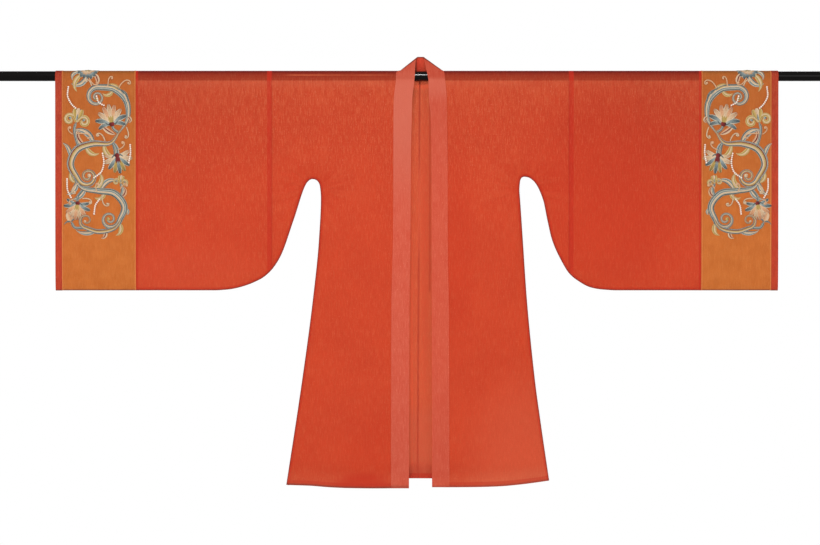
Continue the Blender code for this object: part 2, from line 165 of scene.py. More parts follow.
rightHalf = {
    "side": 1, "wrist": 1.0900, "binding": 1.0690, "cuff": 0.8560, "extension": 0.4530, "neck": 0.0677,
    "underarm": [(0.590, -0.6532), (0.548, -0.6500), (0.517, -0.6435), (0.487, -0.6280), (0.456, -0.6035),
                 (0.429, -0.5605), (0.402, -0.4995), (0.3875, -0.4385), (0.3747, -0.3775),
                 (0.3530, -0.3290), (0.3400, -0.3150), (0.3290, -0.3086), (0.3180, -0.3066)],
    "sideEdge": [(0.3180, -0.3066), (0.3130, -0.3074), (0.3090, -0.3098), (0.3060, -0.3140),
                 (0.3040, -0.3210), (0.3020, -0.3470),
                 (0.3042, -0.3780), (0.3124, -0.5000), (0.3249, -0.6830), (0.3493, -0.9270),
                 (0.3658, -1.0490), (0.3930, -1.2340)],
    "hem": [(0.035, -1.2534), (0.182, -1.2520), (0.243, -1.2500), (0.304, -1.2450), (0.393, -1.2340)],
    "shoulder": [(0.0, 0.0738), (22.5, 0.0732), (45.0, 0.0722), (67.5, 0.0706), (90.0, 0.0677)],
    "seamEdge": [(0.0738, 0.0), (0.0799, -0.0665), (0.0805, -0.1180), (0.0824, -0.2400),
                 (0.0836, -0.5610), (0.0870, -0.7100), (0.0885, -1.2530)],
    "freeEdge": [(0.0222, 0.0), (0.0241, -0.0120), (0.0262, -0.0730), (0.0308, -0.1180),
                 (0.0336, -0.2400), (0.0342, -0.5000), (0.0354, -1.2534)],
    "foldEnd": 0.0092, "freeTop": 0.0119,
}
halves = {"Left": leftHalf, "Right": rightHalf}

drape = {
    "overRod": 0.0162,  # radius at which the cloth goes over the rod
    "rodReach": 0.060,  # depth over which the rod still spreads front and back
    "seamCurve": 0.0024,  # how tightly front and back turn into each other at a seam
    "sleeveBottom": -0.6532,
    "backHem": -1.2285,
    "backSeam": (0.0009, -0.0058),  # x of the centre-back seam at the neck and at the hem
    "sway": 0.0042, "swayWave": 0.46, "swayTop": -0.35, "swayGrowth": 1.5, "swayShift": 0.15,
    "swaySlant": 0.20,
    "spread": 0.02, "calmEdge": 0.030, "calmTop": 0.05,  # where the rod's width and the folds come in
    "step": 0.0062, "bindingStep": 0.004,  # size of the cloth's mesh
    "joinedWithin": 2e-5,  # points of neighbouring grids this close are one
    "sharpAngle": math.radians(50),
}
rodArc = drape["overRod"] * math.pi / 2  # cloth from the top of the rod to its front or back

# Soft folds of the front and of the back: x and z of both ends, half width and height, in millimetres
folds = {
    "front": [
        # from the left armpit down the skirt
        (-300, -350, -235, -800, 16, 2.0), (-292, -370, -262, -640, 10, -1.4),
        (-285, -460, -180, -980, 24, 1.6),
        # from the left armpit towards the neck and along the sleeve
        (-335, -300, -220, -170, 12, 1.3), (-350, -318, -440, -300, 7, 1.3),
        (-352, -330, -452, -372, 8, 1.2), (-345, -305, -410, -240, 9, 1.0),
        # from the right armpit
        (305, -345, 272, -720, 15, 1.8), (312, -520, 290, -1080, 18, 1.6),
        (318, -600, 335, -1200, 14, 1.3), (318, -292, 230, -180, 12, 1.2), (330, -298, 395, -262, 7, 1.4),
        (345, -312, 420, -318, 6, 1.2),
        # down from the shoulders
        (-175, -20, -130, -420, 14, 1.2), (-260, -20, -250, -300, 18, 0.9), (165, -20, 150, -360, 13, 1.1),
        (240, -20, 262, -270, 16, 0.9), (-620, -20, -600, -380, 20, 0.9), (655, -20, 690, -420, 18, 1.0),
        # low in the sleeves, where the bag of the sleeve gathers a little
        (-840, -600, -560, -590, 16, 1.4), (-640, -560, -470, -470, 20, 1.4),
        (480, -500, 620, -600, 18, 1.3), (700, -610, 845, -560, 16, 1.2),
        # the skirt's lower part
        (-330, -980, -375, -1235, 16, 1.5), (-200, -1020, -225, -1250, 20, 1.6),
        (200, -900, 232, -1240, 22, 1.6),
    ],
    "back": [
        (-300, -350, -215, -860, 18, 1.9), (300, -345, 226, -780, 17, 1.9),
        (-345, -305, -420, -250, 9, 1.2), (340, -300, 425, -262, 9, 1.3), (-210, -20, -165, -400, 16, 1.1),
        (120, -20, 135, -430, 14, 1.1), (-60, -300, -90, -1000, 24, 1.4), (80, -420, 130, -1150, 22, 1.5),
        (-700, -20, -660, -440, 20, 1.0), (600, -20, 640, -400, 19, 1.0),
    ],
}
foldBend, foldTurns, foldStart, foldFade = 0.35, 2.1, 9.0, 0.35  # how a fold winds, and how its ends fade
# Long shallow waves across the whole robe: width of a wave, where it starts, height, and depth reached
waves = [(0.083, 0.10, 0.00045, 0.60), (0.131, 0.43, 0.00060, 0.90), (0.057, 0.71, 0.00028, 0.35)]
waveShift = 0.13  # how far the back's waves lie from the front's, in turns to each side


def through(rows, at):
    # smooth curve without overshoot through rows of (key, value)
    keys, values = np.array(sorted(rows), dtype=float).T
    rise = np.diff(values) / np.diff(keys)
    both = rise[:-1] * rise[1:]
    total = np.where(both > 0, rise[:-1] + rise[1:], 1.0)
    slope = np.concatenate([rise[:1], np.where(both > 0, 2 * both / total, 0.0), rise[-1:]])
    at = np.clip(at, keys[0], keys[-1])
    i = np.clip(np.searchsorted(keys, at, side="right") - 1, 0, len(keys) - 2)
    width = keys[i + 1] - keys[i]
    t = (at - keys[i]) / width
    return (values[i] * (1 + 2 * t) * (1 - t) ** 2 + values[i + 1] * t * t * (3 - 2 * t)
            + width * (slope[i] * t * (1 - t) ** 2 - slope[i + 1] * t * t * (1 - t)))


def xAt(rows, z):
    return through([(b, a) for a, b in rows], z)


def edgeLine(half):
    points = [(half["wrist"], drape["sleeveBottom"])]
    under, side = half["underarm"], half["sideEdge"]
    for (a, _), (b, _) in zip(under, under[1:]):
        xs = np.linspace(a, b, 7, endpoint=False)
        points += list(zip(xs, through(under, xs)))
    for (_, a), (_, b) in zip(side, side[1:]):
        zs = np.linspace(a, b, 7, endpoint=False)
        points += list(zip(xAt(side, zs), zs))
    return np.array(points + [side[-1]])


for half in halves.values():
    half["line"] = edgeLine(half)


def edgeDistance(half, x, z):
    nearest = np.full(np.shape(x), np.inf)
    line = half["line"]
    for (ax, az), (bx, bz) in zip(line, line[1:]):
        dx, dz = bx - ax, bz - az
        share = np.clip(((x - ax) * dx + (z - az) * dz) / (dx * dx + dz * dz), 0, 1)
        nearest = np.minimum(nearest, np.hypot(x - ax - share * dx, z - az - share * dz))
    return nearest


def swayAt(x, z):
    depth = np.maximum(0.0, (drape["swayTop"] - z) / (drape["swayTop"] - drape["backHem"]))
    turn = x / drape["swayWave"] + drape["swayShift"] + drape["swaySlant"] * depth
    return drape["sway"] * depth ** drape["swayGrowth"] * np.sin(2 * np.pi * turn)


def foldHeight(x, z, face):
    total = np.zeros(np.shape(x))
    for fold in folds["front" if face < 0 else "back"]:
        startX, startZ, endX, endZ, width, height = (part / 1000 for part in fold)
        length = math.hypot(endX - startX, endZ - startZ)
        alongX, alongZ = (endX - startX) / length, (endZ - startZ) / length
        run = ((x - startX) * alongX + (z - startZ) * alongZ) / length
        off = (x - startX) * alongZ - (z - startZ) * alongX
        bend = foldBend * width * np.sin(foldTurns * np.pi * run + foldStart * startX)
        ends = np.clip(np.minimum(run, 1 - run) / foldFade, 0, 1)
        total += height * np.exp(-((off - bend) / width) ** 2) * ends * ends * (3 - 2 * ends)
    for width, start, height, reach in waves:
        total += height * np.exp(z / reach) * np.sin(2 * np.pi * (x / width + start + waveShift * face))
    return total


def onCloth(half, x, s, lift=0.0):
    # x outwards from the middle, s along the cloth from the top of the rod, less than 0 at the front
    x, s = np.broadcast_arrays(np.asarray(x, dtype=float), np.asarray(s, dtype=float))
    face = np.where(s < 0, -1.0, 1.0)
    reach = np.abs(s)
    angle = np.clip(np.pi / 2 - reach / drape["overRod"], 0, np.pi / 2)
    z = np.minimum(rodArc - reach, 0.0)
    away = edgeDistance(half, x, z)
    free = drape["seamCurve"] * np.arccosh(1 + away / drape["seamCurve"])
    near = np.clip(away / drape["spread"], 0, 1)
    gap = free + (drape["overRod"] - free) * np.exp(z / drape["rodReach"]) * near
    across = half["side"] * x
    calm = np.clip(away / drape["calmEdge"], 0, 1) * np.clip(-z / drape["calmTop"], 0, 1)
    bulge = np.where(face < 0, foldHeight(across, z, -1), foldHeight(across, z, 1)) * calm
    hung = np.stack([across, face * (gap + bulge + lift) + swayAt(across, z), z], -1)
    radius = drape["overRod"] + lift
    over = np.stack([across, face * radius * np.cos(angle), radius * np.sin(angle)], -1)
    return np.where((reach < rodArc)[..., None], over, hung)


# meshes of cloth

def dense(shares, length, step):
    made = []
    for a, b in zip(shares, shares[1:]):
        count = max(1, math.ceil(abs(b - a) * length / step))
        made += list(np.linspace(a, b, count, endpoint=False))
    return np.array(made + [shares[-1]])


def patch(half, x, s, face, lift=0.0):
    # a grid of points on the cloth, its place on the flat cloth, and the side that it faces
    x, s = np.broadcast_arrays(x, s)
    return onCloth(half, x, s, lift), np.stack([half["side"] * x, s], -1), face


def newMesh(name, points, faces, flat=None):
    mesh = bpy.data.meshes.new(name)
    mesh.from_pydata(points.tolist(), [], faces if isinstance(faces, list) else faces.tolist())
    if flat is not None:
        corners = np.empty(len(mesh.loops), dtype=np.int32)
        mesh.loops.foreach_get("vertex_index", corners)
        mesh.uv_layers.new(name="cloth").data.foreach_set("uv", flat[corners].ravel())
    return mesh


def clothMesh(name, patches):
    points, flat, quads, count = [], [], [], 0
    for grid, place, facing in patches:
        rows, columns = grid.shape[:2]
        index = count + np.arange(rows * columns).reshape(rows, columns)
        made = np.stack([index[:-1, :-1], index[1:, :-1], index[1:, 1:], index[:-1, 1:]], -1).reshape(-1, 4)
        loose = grid.reshape(-1, 3)
        a, b, c = (loose[i - count] for i in made[len(made) // 2][:3])
        quads.append(made[:, ::-1] if np.cross(b - a, c - a)[1] * facing < 0 else made)
        points.append(loose)
        flat.append(place.reshape(-1, 2))
        count += rows * columns
    mesh = newMesh(name, np.concatenate(points), np.concatenate(quads), np.concatenate(flat))
    shape = bmesh.new()
    shape.from_mesh(mesh)
    bmesh.ops.remove_doubles(shape, verts=shape.verts, dist=drape["joinedWithin"])
    bmesh.ops.dissolve_degenerate(shape, edges=shape.edges, dist=1e-6)
    shape.to_mesh(mesh)
    shape.free()
    return mesh


def flatSize(mesh):
    # width, length and area of the flat cloth, from its own flat coordinates
    flat = np.empty(len(mesh.loops) * 2)
    mesh.uv_layers["cloth"].data.foreach_get("uv", flat)
    flat = flat.reshape(-1, 2)
    area = 0.0
    for face in mesh.polygons:
        corner = flat[face.loop_start:face.loop_start + face.loop_total]
        x, y = corner[:, 0], corner[:, 1]
        area += abs(np.dot(x, np.roll(y, -1)) - np.dot(y, np.roll(x, -1))) / 2
    width, length = flat.max(0) - flat.min(0)
    return float(width), float(length), float(area)


def markSeams(mesh, half, across):
    # how far each point is from the nearest seam, from the joined edges and from the hem
    places = np.array([corner.co for corner in mesh.vertices])
    x, y, z = half["side"] * places[:, 0], places[:, 1], places[:, 2]
    edge = edgeDistance(half, x, z)
    near = edge
    for seam in across:
        near = np.minimum(near, np.abs(x - seam))
    skirt = x < half["sideEdge"][-1][0]
    front = y < swayAt(half["side"] * x, z)
    rise = np.where(skirt, z - np.where(front, hemZ(half, x, -1), hemZ(half, x, 1)), 1.0)
    for name, values in (("seam", near), ("edge", edge), ("hem", rise)):
        mesh.attributes.new(name, "FLOAT", "POINT").data.foreach_set("value", values)


def newPiece(mesh):
    piece = bpy.data.objects.new(mesh.name, mesh)
    scene.collection.objects.link(piece)
    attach(piece, "root")
    return piece


def smooth(mesh, *materials, sharp=True):
    for material in materials:
        mesh.materials.append(material)
    mesh.shade_smooth()
    if sharp:
        mesh.set_sharp_from_angle(angle=drape["sharpAngle"])


def clothPiece(mesh, thickness, material):
    piece = newPiece(mesh)
    solid = piece.modifiers.new("thickness", "SOLIDIFY")
    solid.thickness, solid.offset = thickness, 0.0
    bpy.context.view_layer.objects.active = piece
    bpy.ops.object.modifier_apply(modifier=solid.name)
    smooth(mesh, material)
    return piece


def declare(piece, size):
    width, length, area = size
    min(area, width * length)
    print(f"{piece.name}: cut {width:.3f} x {length:.3f} m, {area:.3f} m2")


def bottomAt(half, x):
    return through(half["underarm"], x)


def alongCloth(z, face):
    return face * (rodArc - z)


def sleeveColumns(half, outer, inner, step):
    fine = np.linspace(outer, inner, 401)
    runs = np.concatenate([[0], np.cumsum(np.hypot(np.diff(fine), np.diff(bottomAt(half, fine))))])
    count = max(1, round(runs[-1] / step))
    at = np.linspace(0, runs[-1], count + 1)
    if inner < half["extension"]:
        at = np.sort(np.concatenate([at, (at[-9:-1] + at[-8:]) / 2]))  # closer round the armpit
    return np.interp(at, runs, fine)


sleeveShares = [0.0, 0.30, 0.64, 0.89, 0.95, 0.975, 0.988, 0.9945, 0.998, 1.0]


def sleeveGrid(half, columns, face, step, lift=0.0):
    # from the top of the rod down to the seam at the bottom
    bottom = bottomAt(half, columns)
    top = np.linspace(0, rodArc, 9)[:-1]
    shares = dense(sleeveShares, abs(drape["sleeveBottom"]), step)
    over, hung = np.repeat(top[:, None], len(columns), 1), rodArc - shares[:, None] * bottom[None]
    reach = np.concatenate([over, hung])
    return patch(half, columns[None], face * np.maximum(reach, 1e-9), face, lift)


def tubePatches(half, outer, inner, step, lift=0.0):
    columns = sleeveColumns(half, outer, inner, step)
    return [sleeveGrid(half, columns, face, drape["step"], lift) for face in (-1, 1)]


skirtColumns = [0.0, 0.006, 0.02, 0.06, 1.0]
skirtRows = [0.0, 0.0002, 0.0007, 0.0016, 0.003, 0.006, 0.011, 0.018, 0.03, 0.05, 1.0]


def frontEdge(half, z):
    return xAt(half["seamEdge"], z)


def endAt(half, z, face):
    return frontEdge(half, z) if face < 0 else np.full(np.shape(z), half["neck"])


def hemZ(half, x, face):
    cornerX, cornerZ = half["sideEdge"][-1]
    if face < 0:
        return through(half["hem"], x)
    return drape["backHem"] + (cornerZ - drape["backHem"]) * (x / cornerX) ** 2


def yokeGrid(half, face, step):
    startX, startZ = half["underarm"][-1]
    shares = dense(skirtColumns, startX - half["neck"], step)
    angles = np.linspace(0, 90, 9)[:-1]
    topEnd = through(half["shoulder"], 90 - angles) if face < 0 else np.full(8, half["neck"])
    down = dense(sleeveShares, abs(startZ), step)
    z = down * startZ
    ends = np.concatenate([topEnd, endAt(half, z, face)])
    reach = np.concatenate([drape["overRod"] * np.radians(angles), rodArc - z])
    x = startX + shares[None] * (ends[:, None] - startX)
    return patch(half, x, face * np.maximum(reach, 1e-9)[:, None], face)


def skirtPlaces(half, face, step):
    # x and z of a grid from the armpit down to the hem, and from the side seam in
    (topX, topZ), (cornerX, cornerZ) = half["underarm"][-1], half["sideEdge"][-1]
    shares = dense(skirtColumns, topX - half["neck"], step)
    down = dense(skirtRows, topZ - cornerZ, step)[:, None]
    sideZ = topZ + down * (cornerZ - topZ)
    sideX = xAt(half["sideEdge"], sideZ)
    hemX = cornerX + shares[None] * (endAt(half, np.array(cornerZ), face) - cornerX)
    z = topZ + down * (hemZ(half, hemX, face) - topZ)
    x = sideX + shares[None] * (endAt(half, z, face) - sideX)
    return x, z


def skirtGrid(half, face, step):
    x, z = skirtPlaces(half, face, step)
    return patch(half, x, alongCloth(z, face), face)


def backMiddle(half, z):
    top, bottom = drape["backSeam"]
    return half["side"] * (top + (bottom - top) * z / drape["backHem"])


def backGrid(half, step):
    # the back between the line below the neck's end and the centre-back seam
    start, (_, topZ) = half["neck"], half["underarm"][-1]
    shares = dense([0.0, 0.9, 1.0], start, step)
    down = dense(sleeveShares, abs(topZ), step)
    neckLift = 22.5  # degrees over the rod at which the neckline lies
    reach = drape["overRod"] * np.radians(np.linspace(90 - neckLift, 90, 4)[:-1])
    upper = np.concatenate([reach, rodArc - down * topZ])
    _, z = skirtPlaces(half, 1, step)
    lower = rodArc - z[1:, -1]
    s = np.concatenate([upper, lower])
    level = np.minimum(rodArc - s, 0.0)
    xs = start + shares[None] * (backMiddle(half, level)[:, None] - start)
    # below the armpit each row dips or rises with the hem
    share = np.clip((level - topZ) / (z[-1, -1] - topZ), 0, 1)[:, None]
    dip = hemZ(half, xs, 1) - hemZ(half, np.array(start), 1)
    return patch(half, xs, s[:, None] - share * dip, 1)


def bodyPatches(half):
    step = drape["step"]
    columns = sleeveColumns(half, half["extension"], half["underarm"][-1][0], step)
    patches = []
    for face in (-1, 1):
        patches += [sleeveGrid(half, columns, face, step), yokeGrid(half, face, step),
                    skirtGrid(half, face, step)]
    return patches + [backGrid(half, step)]


# The collar band stands over the rod and folds to the back of the neck.

collar = {
    "overRod": 0.0166, "top": 0.0586, "foldRadius": 0.0015, "steepestSine": 0.9999,
    "proud": 0.0006,  # how far it lies out from the body's cloth
    "thickness": 0.0013,
    "freeTopRise": 0.8,  # where in the rise the free edge passes freeTop
    "across": 15,
    # rows at the back of the neck: degrees of the seam edge over the rod, its share of the way to the
    # middle, and the share of the free edge's way
    "neckRows": [(90.0, 0.0, 0.0), (80.0, 0.0, 0.10), (62.0, 0.0, 0.25), (42.0, 0.0, 0.40),
                 (23.5, 0.0, 0.55), (23.5, 0.5, 0.80), (23.5, 1.0, 1.0)],
    "neckSteps": 5, "riseSteps": 14,
    "width": 0.057, "riseLength": 0.042, "neckLength": 0.074,
    # creases across the lapels: height on the lapel, slant, and how far each stands up
    "creasesLeft": [(-0.927, 0.010, 0.0010), (-0.713, -0.006, 0.0010), (-0.318, 0.012, -0.0006)],
    "creasesRight": [(-0.963, -0.008, 0.0010), (-0.689, 0.006, 0.0010), (-0.402, -0.010, 0.0006)],
    "creaseWidth": 0.0065,
}


def tentAt(z, height):
    centre = height - collar["foldRadius"]
    over, small = collar["overRod"], collar["foldRadius"]
    sine = min(collar["steepestSine"], (over - small) / centre)
    if z < over * sine:
        return math.sqrt(over ** 2 - max(0.0, z) ** 2)
    if z < centre + small * sine:
        return (over - z * sine) / math.sqrt(1 - sine ** 2)
    return math.sqrt(max(0.0, small ** 2 - (z - centre) ** 2))


def standing(half, x, z, face):
    share = (half["neck"] - x) / (half["neck"] - half["foldEnd"])
    over = collar["overRod"]
    height = over + (collar["top"] - over) * min(1.0, max(0.0, share))
    z = min(z, height)
    return (half["side"] * x, face * tentAt(z, height), z)


def bandPlace(half, shares, widths, runs):
    # flat places on the band: across it, and along it from the centre of the back
    across = shares[None] * np.asarray(widths)[:, None]
    return np.stack(np.broadcast_arrays(across, half["side"] * np.asarray(runs)[:, None]), -1)


def collarPatches(half):
    shares = np.linspace(0, 1, collar["across"] + 1)
    _, topZ = half["underarm"][-1]
    _, z = skirtPlaces(half, -1, drape["step"])
    levels = np.concatenate([dense(sleeveShares, abs(topZ), drape["step"]) * topZ, z[1:, -1]])[::-1]
    outer, inner = frontEdge(half, levels), xAt(half["freeEdge"], levels)
    across = outer[:, None] - shares[None] * (outer - inner)[:, None]
    lift = np.full(across.shape, collar["proud"])
    for level, slant, height in collar["creases" + ("Left" if half["side"] < 0 else "Right")]:
        off = levels[:, None] - level - slant * (shares[None] - 0.5)
        lift += height * np.exp(-(off / collar["creaseWidth"]) ** 2)
    lapel = onCloth(half, across, alongCloth(levels, -1)[:, None], lift)
    rise, neck = collar["riseLength"], collar["neckLength"]
    edge = [(0.0, half["freeEdge"][0][0]), (collar["freeTopRise"], half["freeTop"]), (1.0, half["foldEnd"])]
    ups = np.linspace(0, 1, collar["riseSteps"] + 1)[1:]
    rows = []
    for up in ups:
        outX, inX = float(through(half["shoulder"], up * 90)), float(through(edge, up))
        low = math.sin(up * math.pi / 2)
        rows.append([standing(half, outX + share * (inX - outX), top * ((1 - share) * low + share * up), -1)
                     for share, top in zip(shares, collar["overRod"]
                                           + shares * (collar["top"] - collar["overRod"]))])
    front = np.concatenate([lapel, np.array(rows)])
    widths = np.concatenate([outer - inner, np.full(len(ups), collar["width"])])
    runs = np.concatenate([neck + rise - levels, neck + rise * (1 - ups)])
    steps = np.linspace(0, 6, 6 * collar["neckSteps"] + 1)
    degrees, seam, free = (np.interp(steps, range(7), column) for column in zip(*collar["neckRows"]))
    rows = []
    for n in range(len(steps)):
        outX, inX = half["neck"] * (1 - seam[n]), half["foldEnd"] * (1 - free[n])
        low = collar["overRod"] * math.sin(math.radians(degrees[n]))
        rows.append([standing(half, outX + share * (inX - outX), low + share * (collar["top"] - low), 1)
                     for share in shares])
    back = bandPlace(half, shares, np.full(len(steps), collar["width"]), neck * (1 - steps / 6))
    return [(front, bandPlace(half, shares, widths, runs), -1), (np.array(rows), back, 1)]


# The display rod: a plain round bar with softened ends

rodLook = {"radius": 0.0150, "length": 2.64, "sides": 128, "endBevel": 0.0022,
           "colour": (0.0042, 0.0036, 0.0032), "dust": (0.016, 0.015, 0.014), "roughness": 0.13,
           "bump": 0.000008, "specular": 0.5}


def rodFinish():
    make = Finish("black gloss paint")
    x, y, z = make.objectPlace()
    grain = make.noise(x * 6, y * 90, z * 90, detail=3.0, roughness=0.6)
    dust = make.noise(x * 60, y * 60, z * 60, detail=4.0, roughness=0.7)
    shade = make.mix(make.between(dust, 0.55, 0.85) * 0.25, rodLook["colour"], rodLook["dust"])
    rough = make.between(grain, 0.3, 0.7, rodLook["roughness"], rodLook["roughness"] + 0.08)
    return make.finish(make.principled(shade, roughness=rough, specular=rodLook["specular"],
                                       normal=make.bump(grain, rodLook["bump"])))


def makeRod():
    bpy.ops.mesh.primitive_cylinder_add(vertices=rodLook["sides"], radius=rodLook["radius"],
                                        depth=rodLook["length"], rotation=(0, math.radians(90), 0))
    rod = bpy.context.object
    rod.name = "displayRod"
    bpy.ops.object.transform_apply(location=True, rotation=True, scale=True)
    shape = bmesh.new()
    shape.from_mesh(rod.data)
    rims = [edge for edge in shape.edges if abs(edge.verts[0].co.x - edge.verts[1].co.x) < 0.001]
    bmesh.ops.bevel(shape, geom=rims, offset=rodLook["endBevel"], segments=4, profile=0.5, affect="EDGES")
    ends = [face for face in shape.faces if len(face.verts) > 20]
    bmesh.ops.inset_region(shape, faces=ends, thickness=rodLook["radius"] * 0.2, use_even_offset=True,
                           use_boundary=True)
    shape.to_mesh(rod.data)
    shape.free()
    bpy.ops.object.shade_smooth_by_angle(angle=math.radians(40))
    rod.data.materials.append(rodFinish())
    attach(rod, "root")
    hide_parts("rod")
    print("rod made")
    return rod


displayRod = makeRod()


# Finishes of the cloth

weave = {
    # noises on the flat cloth: how close they lie across and along it, their detail and roughness
    "fine": (900, 45, 2.0, 0.6), "streak": (380, 34, 3.0, 0.65), "drift": (75, 16, 2.0, 0.6),
    "weft": (40, 700, 2.0, 0.6), "speck": (300, 190, 2.0, 0.7), "nub": (420, 130, 1.0, 0.5),
    "pull": (95, 95, 1.0, 0.5),
}
spans = {
    # from where to where a noise counts
    "tone": (0.34, 0.66), "thread": (0.30, 0.75), "slub": (0.46, 0.76), "bright": (0.50, 0.78),
    "dull": (0.46, 0.24), "nub": (0.64, 0.80), "drift": (0.2, 0.8), "hole": (-0.6, 0.9),
    "crease": (0.36, 0.70),
    # from where to where a shade runs, in metres: heights, and ways from the middle, the seams and the hem
    "upper": (-0.55, 0.0), "shaded": (-0.42, 0.0), "wrist": (0.25, 0.85), "wristDepth": (-0.62, -0.05),
    "pressed": (-0.0160, -0.0135), "rodSide": (-0.0110, 0.0), "rodUpper": (0.0, 0.0082),
    "rodTop": (0.0082, 0.0113), "underRodSheen": (-0.050, -0.018), "rodEnd": (-0.0135, -0.0165),
    "lineLow": (0.0, 0.0014), "lineHigh": (0.0042, 0.0028), "lineOuter": (-0.43, -0.38),
    "lineInner": (-0.07, -0.12), "front": (0.0, -0.004), "seam": (0.0005, 0.0040), "pucker": (0.0, 0.014),
    "sideTurn": (0.0092, 0.0082), "hemShade": (0.060, 0.016), "hemTurn": (0.0160, 0.0150),
    "edgeRim": (0.0048, 0.0012), "hemRim": (0.0085, 0.0026), "veilTop": (-0.0130, -0.0170),
    # creases by their way from the armpit
    "creaseEdge": (0.001, 0.012), "creaseFar": (0.21, 0.06), "creaseNear": (0.022, 0.060),
}


# how much each raises the cloth's surface
relief = {"grid": 0.25, "streak": 0.9, "fine": 0.5, "weft": 0.35, "crease": 5.0}


class ClothFinish(Finish):
    # a sheer slubbed cloth: layers of colour over each other, and some light through it
    def __init__(self, name, look):
        super().__init__(name)
        self.look = look
        self.u, self.v = self.clothPlace()
        self.x, self.y, self.z = self.objectPlace()
        self.seam, self.edge, self.hem = (self.attribute(kind) for kind in ("seam", "edge", "hem"))
        self.noises = {kind: self.noise(self.u * across, self.v * along, detail=detail, roughness=rough)
                       for kind, (across, along, detail, rough) in weave.items()}
        self.cloud = self.noise(self.u, self.v, scale=look["cloudScale"], detail=2.0)
        self.base = self.mix(self.over(self.cloud * 0.6 + self.noises["drift"] * 0.4, "tone"), look["deep"],
                             look["colour"])

    def over(self, value, kind, start=0.0, end=1.0):
        return self.between(value, *spans[kind], start, end)

    def lay(self, share, colour, blend="MIX"):
        colour = self.look[colour] if isinstance(colour, str) else colour
        self.base = self.mix(share, self.base, colour, blend)

    def layThreads(self):
        look, z, noises = self.look, self.z, self.noises
        upper = self.over(z, "upper", look["lowShimmer"])
        self.lay(self.over(noises["fine"], "thread") * look["fine"], "thread")
        self.lay(self.over(noises["streak"], "slub") * upper * look["slub"], "gold")
        self.lay(self.over(noises["speck"], "bright") * upper * look["speck"], "gold")
        self.lay(self.over(noises["speck"], "dull") * upper * (look["speck"] * 0.5), "deep")
        # painted highlight: a warm golden sheen painted high up, just under the rod
        self.lay(self.between(z, *look["paintedGlowReach"]) * self.over(noises["drift"], "drift") * look["paintedGlow"],
                 "gold")
        self.lay(self.over(noises["nub"], "nub") * upper * look["nubs"], "nubColour")

    def layPlaces(self):
        look, x, y, z = self.look, self.x, self.y, self.z
        for atX, atZ, reachX, reachZ, strength, colour in look["patches"]:
            off = ((x - atX) * (1 / reachX)) ** 2.0 + ((z - atZ) * (1 / reachZ)) ** 2.0
            self.lay(self.between(off, 1.0, 0.0) * strength, colour)
        # painted shade: the cloth is painted darker high up and towards the wrists
        wristward = self.over(x.size(), "wrist") * self.over(z, "wristDepth")
        self.lay(self.over(z, "shaded") * look["upperShade"] + wristward * look["wristShade"], "paintedShadeTone",
                 "MULTIPLY")
        fields = {"x": x, "y": y, "z": z, "thin": y.size(), "facing": self.parts("ShaderNodeTexCoord", 1)[1]}
        for share, colour, limits, *blend in look["layers"]:
            if isinstance(colour[0], tuple):  # one colour on each side of the middle
                colour = self.mix(self.between(x, -0.012, 0.012), *colour)
            for part, low, high in limits:
                share = self.between(fields[part], low, high) * share
            self.lay(share, colour, *blend)

    def layRod(self):
        # painted shade: where the cloth lies over the dark rod it is painted darker, most of all on its upper
        # side
        look, x, z = self.look, self.x, self.z
        low, middle, high, top = look["rodShade"]
        rising = (self.over(z, "rodSide", low, middle) + self.over(z, "rodUpper", 0.0, high - middle)
                  + self.over(z, "rodTop", 0.0, top - high))
        pressed = self.over(z, "pressed") * rising * self.over(self.noises["drift"], "drift", 0.96, 1.03)
        self.lay(pressed, "rodShadeColour")
        # painted highlight: a pale warm band painted just under the rod
        under = self.over(z, "underRodSheen") * self.over(z, "rodEnd") * self.between(x, 0.2, 0.4, 1.0, 0.4)
        self.lay(under * look["underRodSheen"], "nubColour")
        # painted highlight: a light line where the rod's highlight shows through the cloth
        line = (self.over(z, "lineLow") * self.over(z, "lineHigh") * self.over(x, "lineOuter")
                * self.over(x, "lineInner"))
        line = line * self.between(self.cloud, 0.36, 0.56, 0.35, 1.0) * self.over(self.y, "front")
        self.lay(line * look["rodHighlight"], "gold")
        return pressed

    def layHoles(self):
        # the small holes between threads
        warp, woof = ((place * (2 * math.pi / self.look["pitch"])).sine() for place in (self.u, self.v))
        holes = self.over(warp, "hole") * self.over(woof, "hole")
        self.lay(holes * self.look["weave"], "deep")
        self.lay(holes * (self.look["weave"] * 0.5), (0.0, 0.0, 0.0))
        return holes, warp * woof

    def layEdges(self):
        look, u, hem = self.look, self.u, self.hem
        self.lay(self.over(self.seam, "seam", look["seamDark"], 0.0), "seamColour")
        if look["turnedIn"]:
            # the cloth is deeper in tone where an edge is turned in behind it
            turned = self.over(self.edge, "sideTurn") * 0.75
            for low, high in look["turnedIn"]:
                turned = (turned + self.between(u, low - 0.0004, low + 0.0002)
                          * self.between(u, high + 0.0006, high - 0.0006)).upTo(1.0)
            self.lay(turned * look["turnedShare"], "turnedColour")
            # painted shade: the cloth is painted darker towards the hem
            self.lay(self.over(hem, "hemShade"), "hemShadeTone", "MULTIPLY")
            self.lay(self.over(hem, "hemTurn") * look["hemShare"], "hemColour")
        # painted shade: a dark rim painted along the joined edges and along the hem
        if look["edgeShadeShare"]:
            hemRim = self.over(hem, "hemRim") * self.between(self.x, -0.05, 0.15, 0.60, 0.42)
            self.lay((self.over(self.edge, "edgeRim") * look["edgeShadeShare"] + hemRim).upTo(0.7), "edgeShadeColour")

    def layCreases(self):
        # soft creases that fan out from the armpit: raised in the bump, with a painted highlight along them
        atX, atZ = self.look["gathers"]
        outX, outZ = self.x.size() - atX, self.z - atZ
        away = (outX * outX + outZ * outZ) ** 0.5
        fan = self.noise(outZ.turnFrom(outX) * 4.6, away * 3.0)
        crease = (self.over(fan, "crease") * self.over(self.edge, "creaseEdge")
                  * self.over(away, "creaseFar") * self.over(away, "creaseNear"))
        self.lay(crease * 0.09, "gold")
        return crease

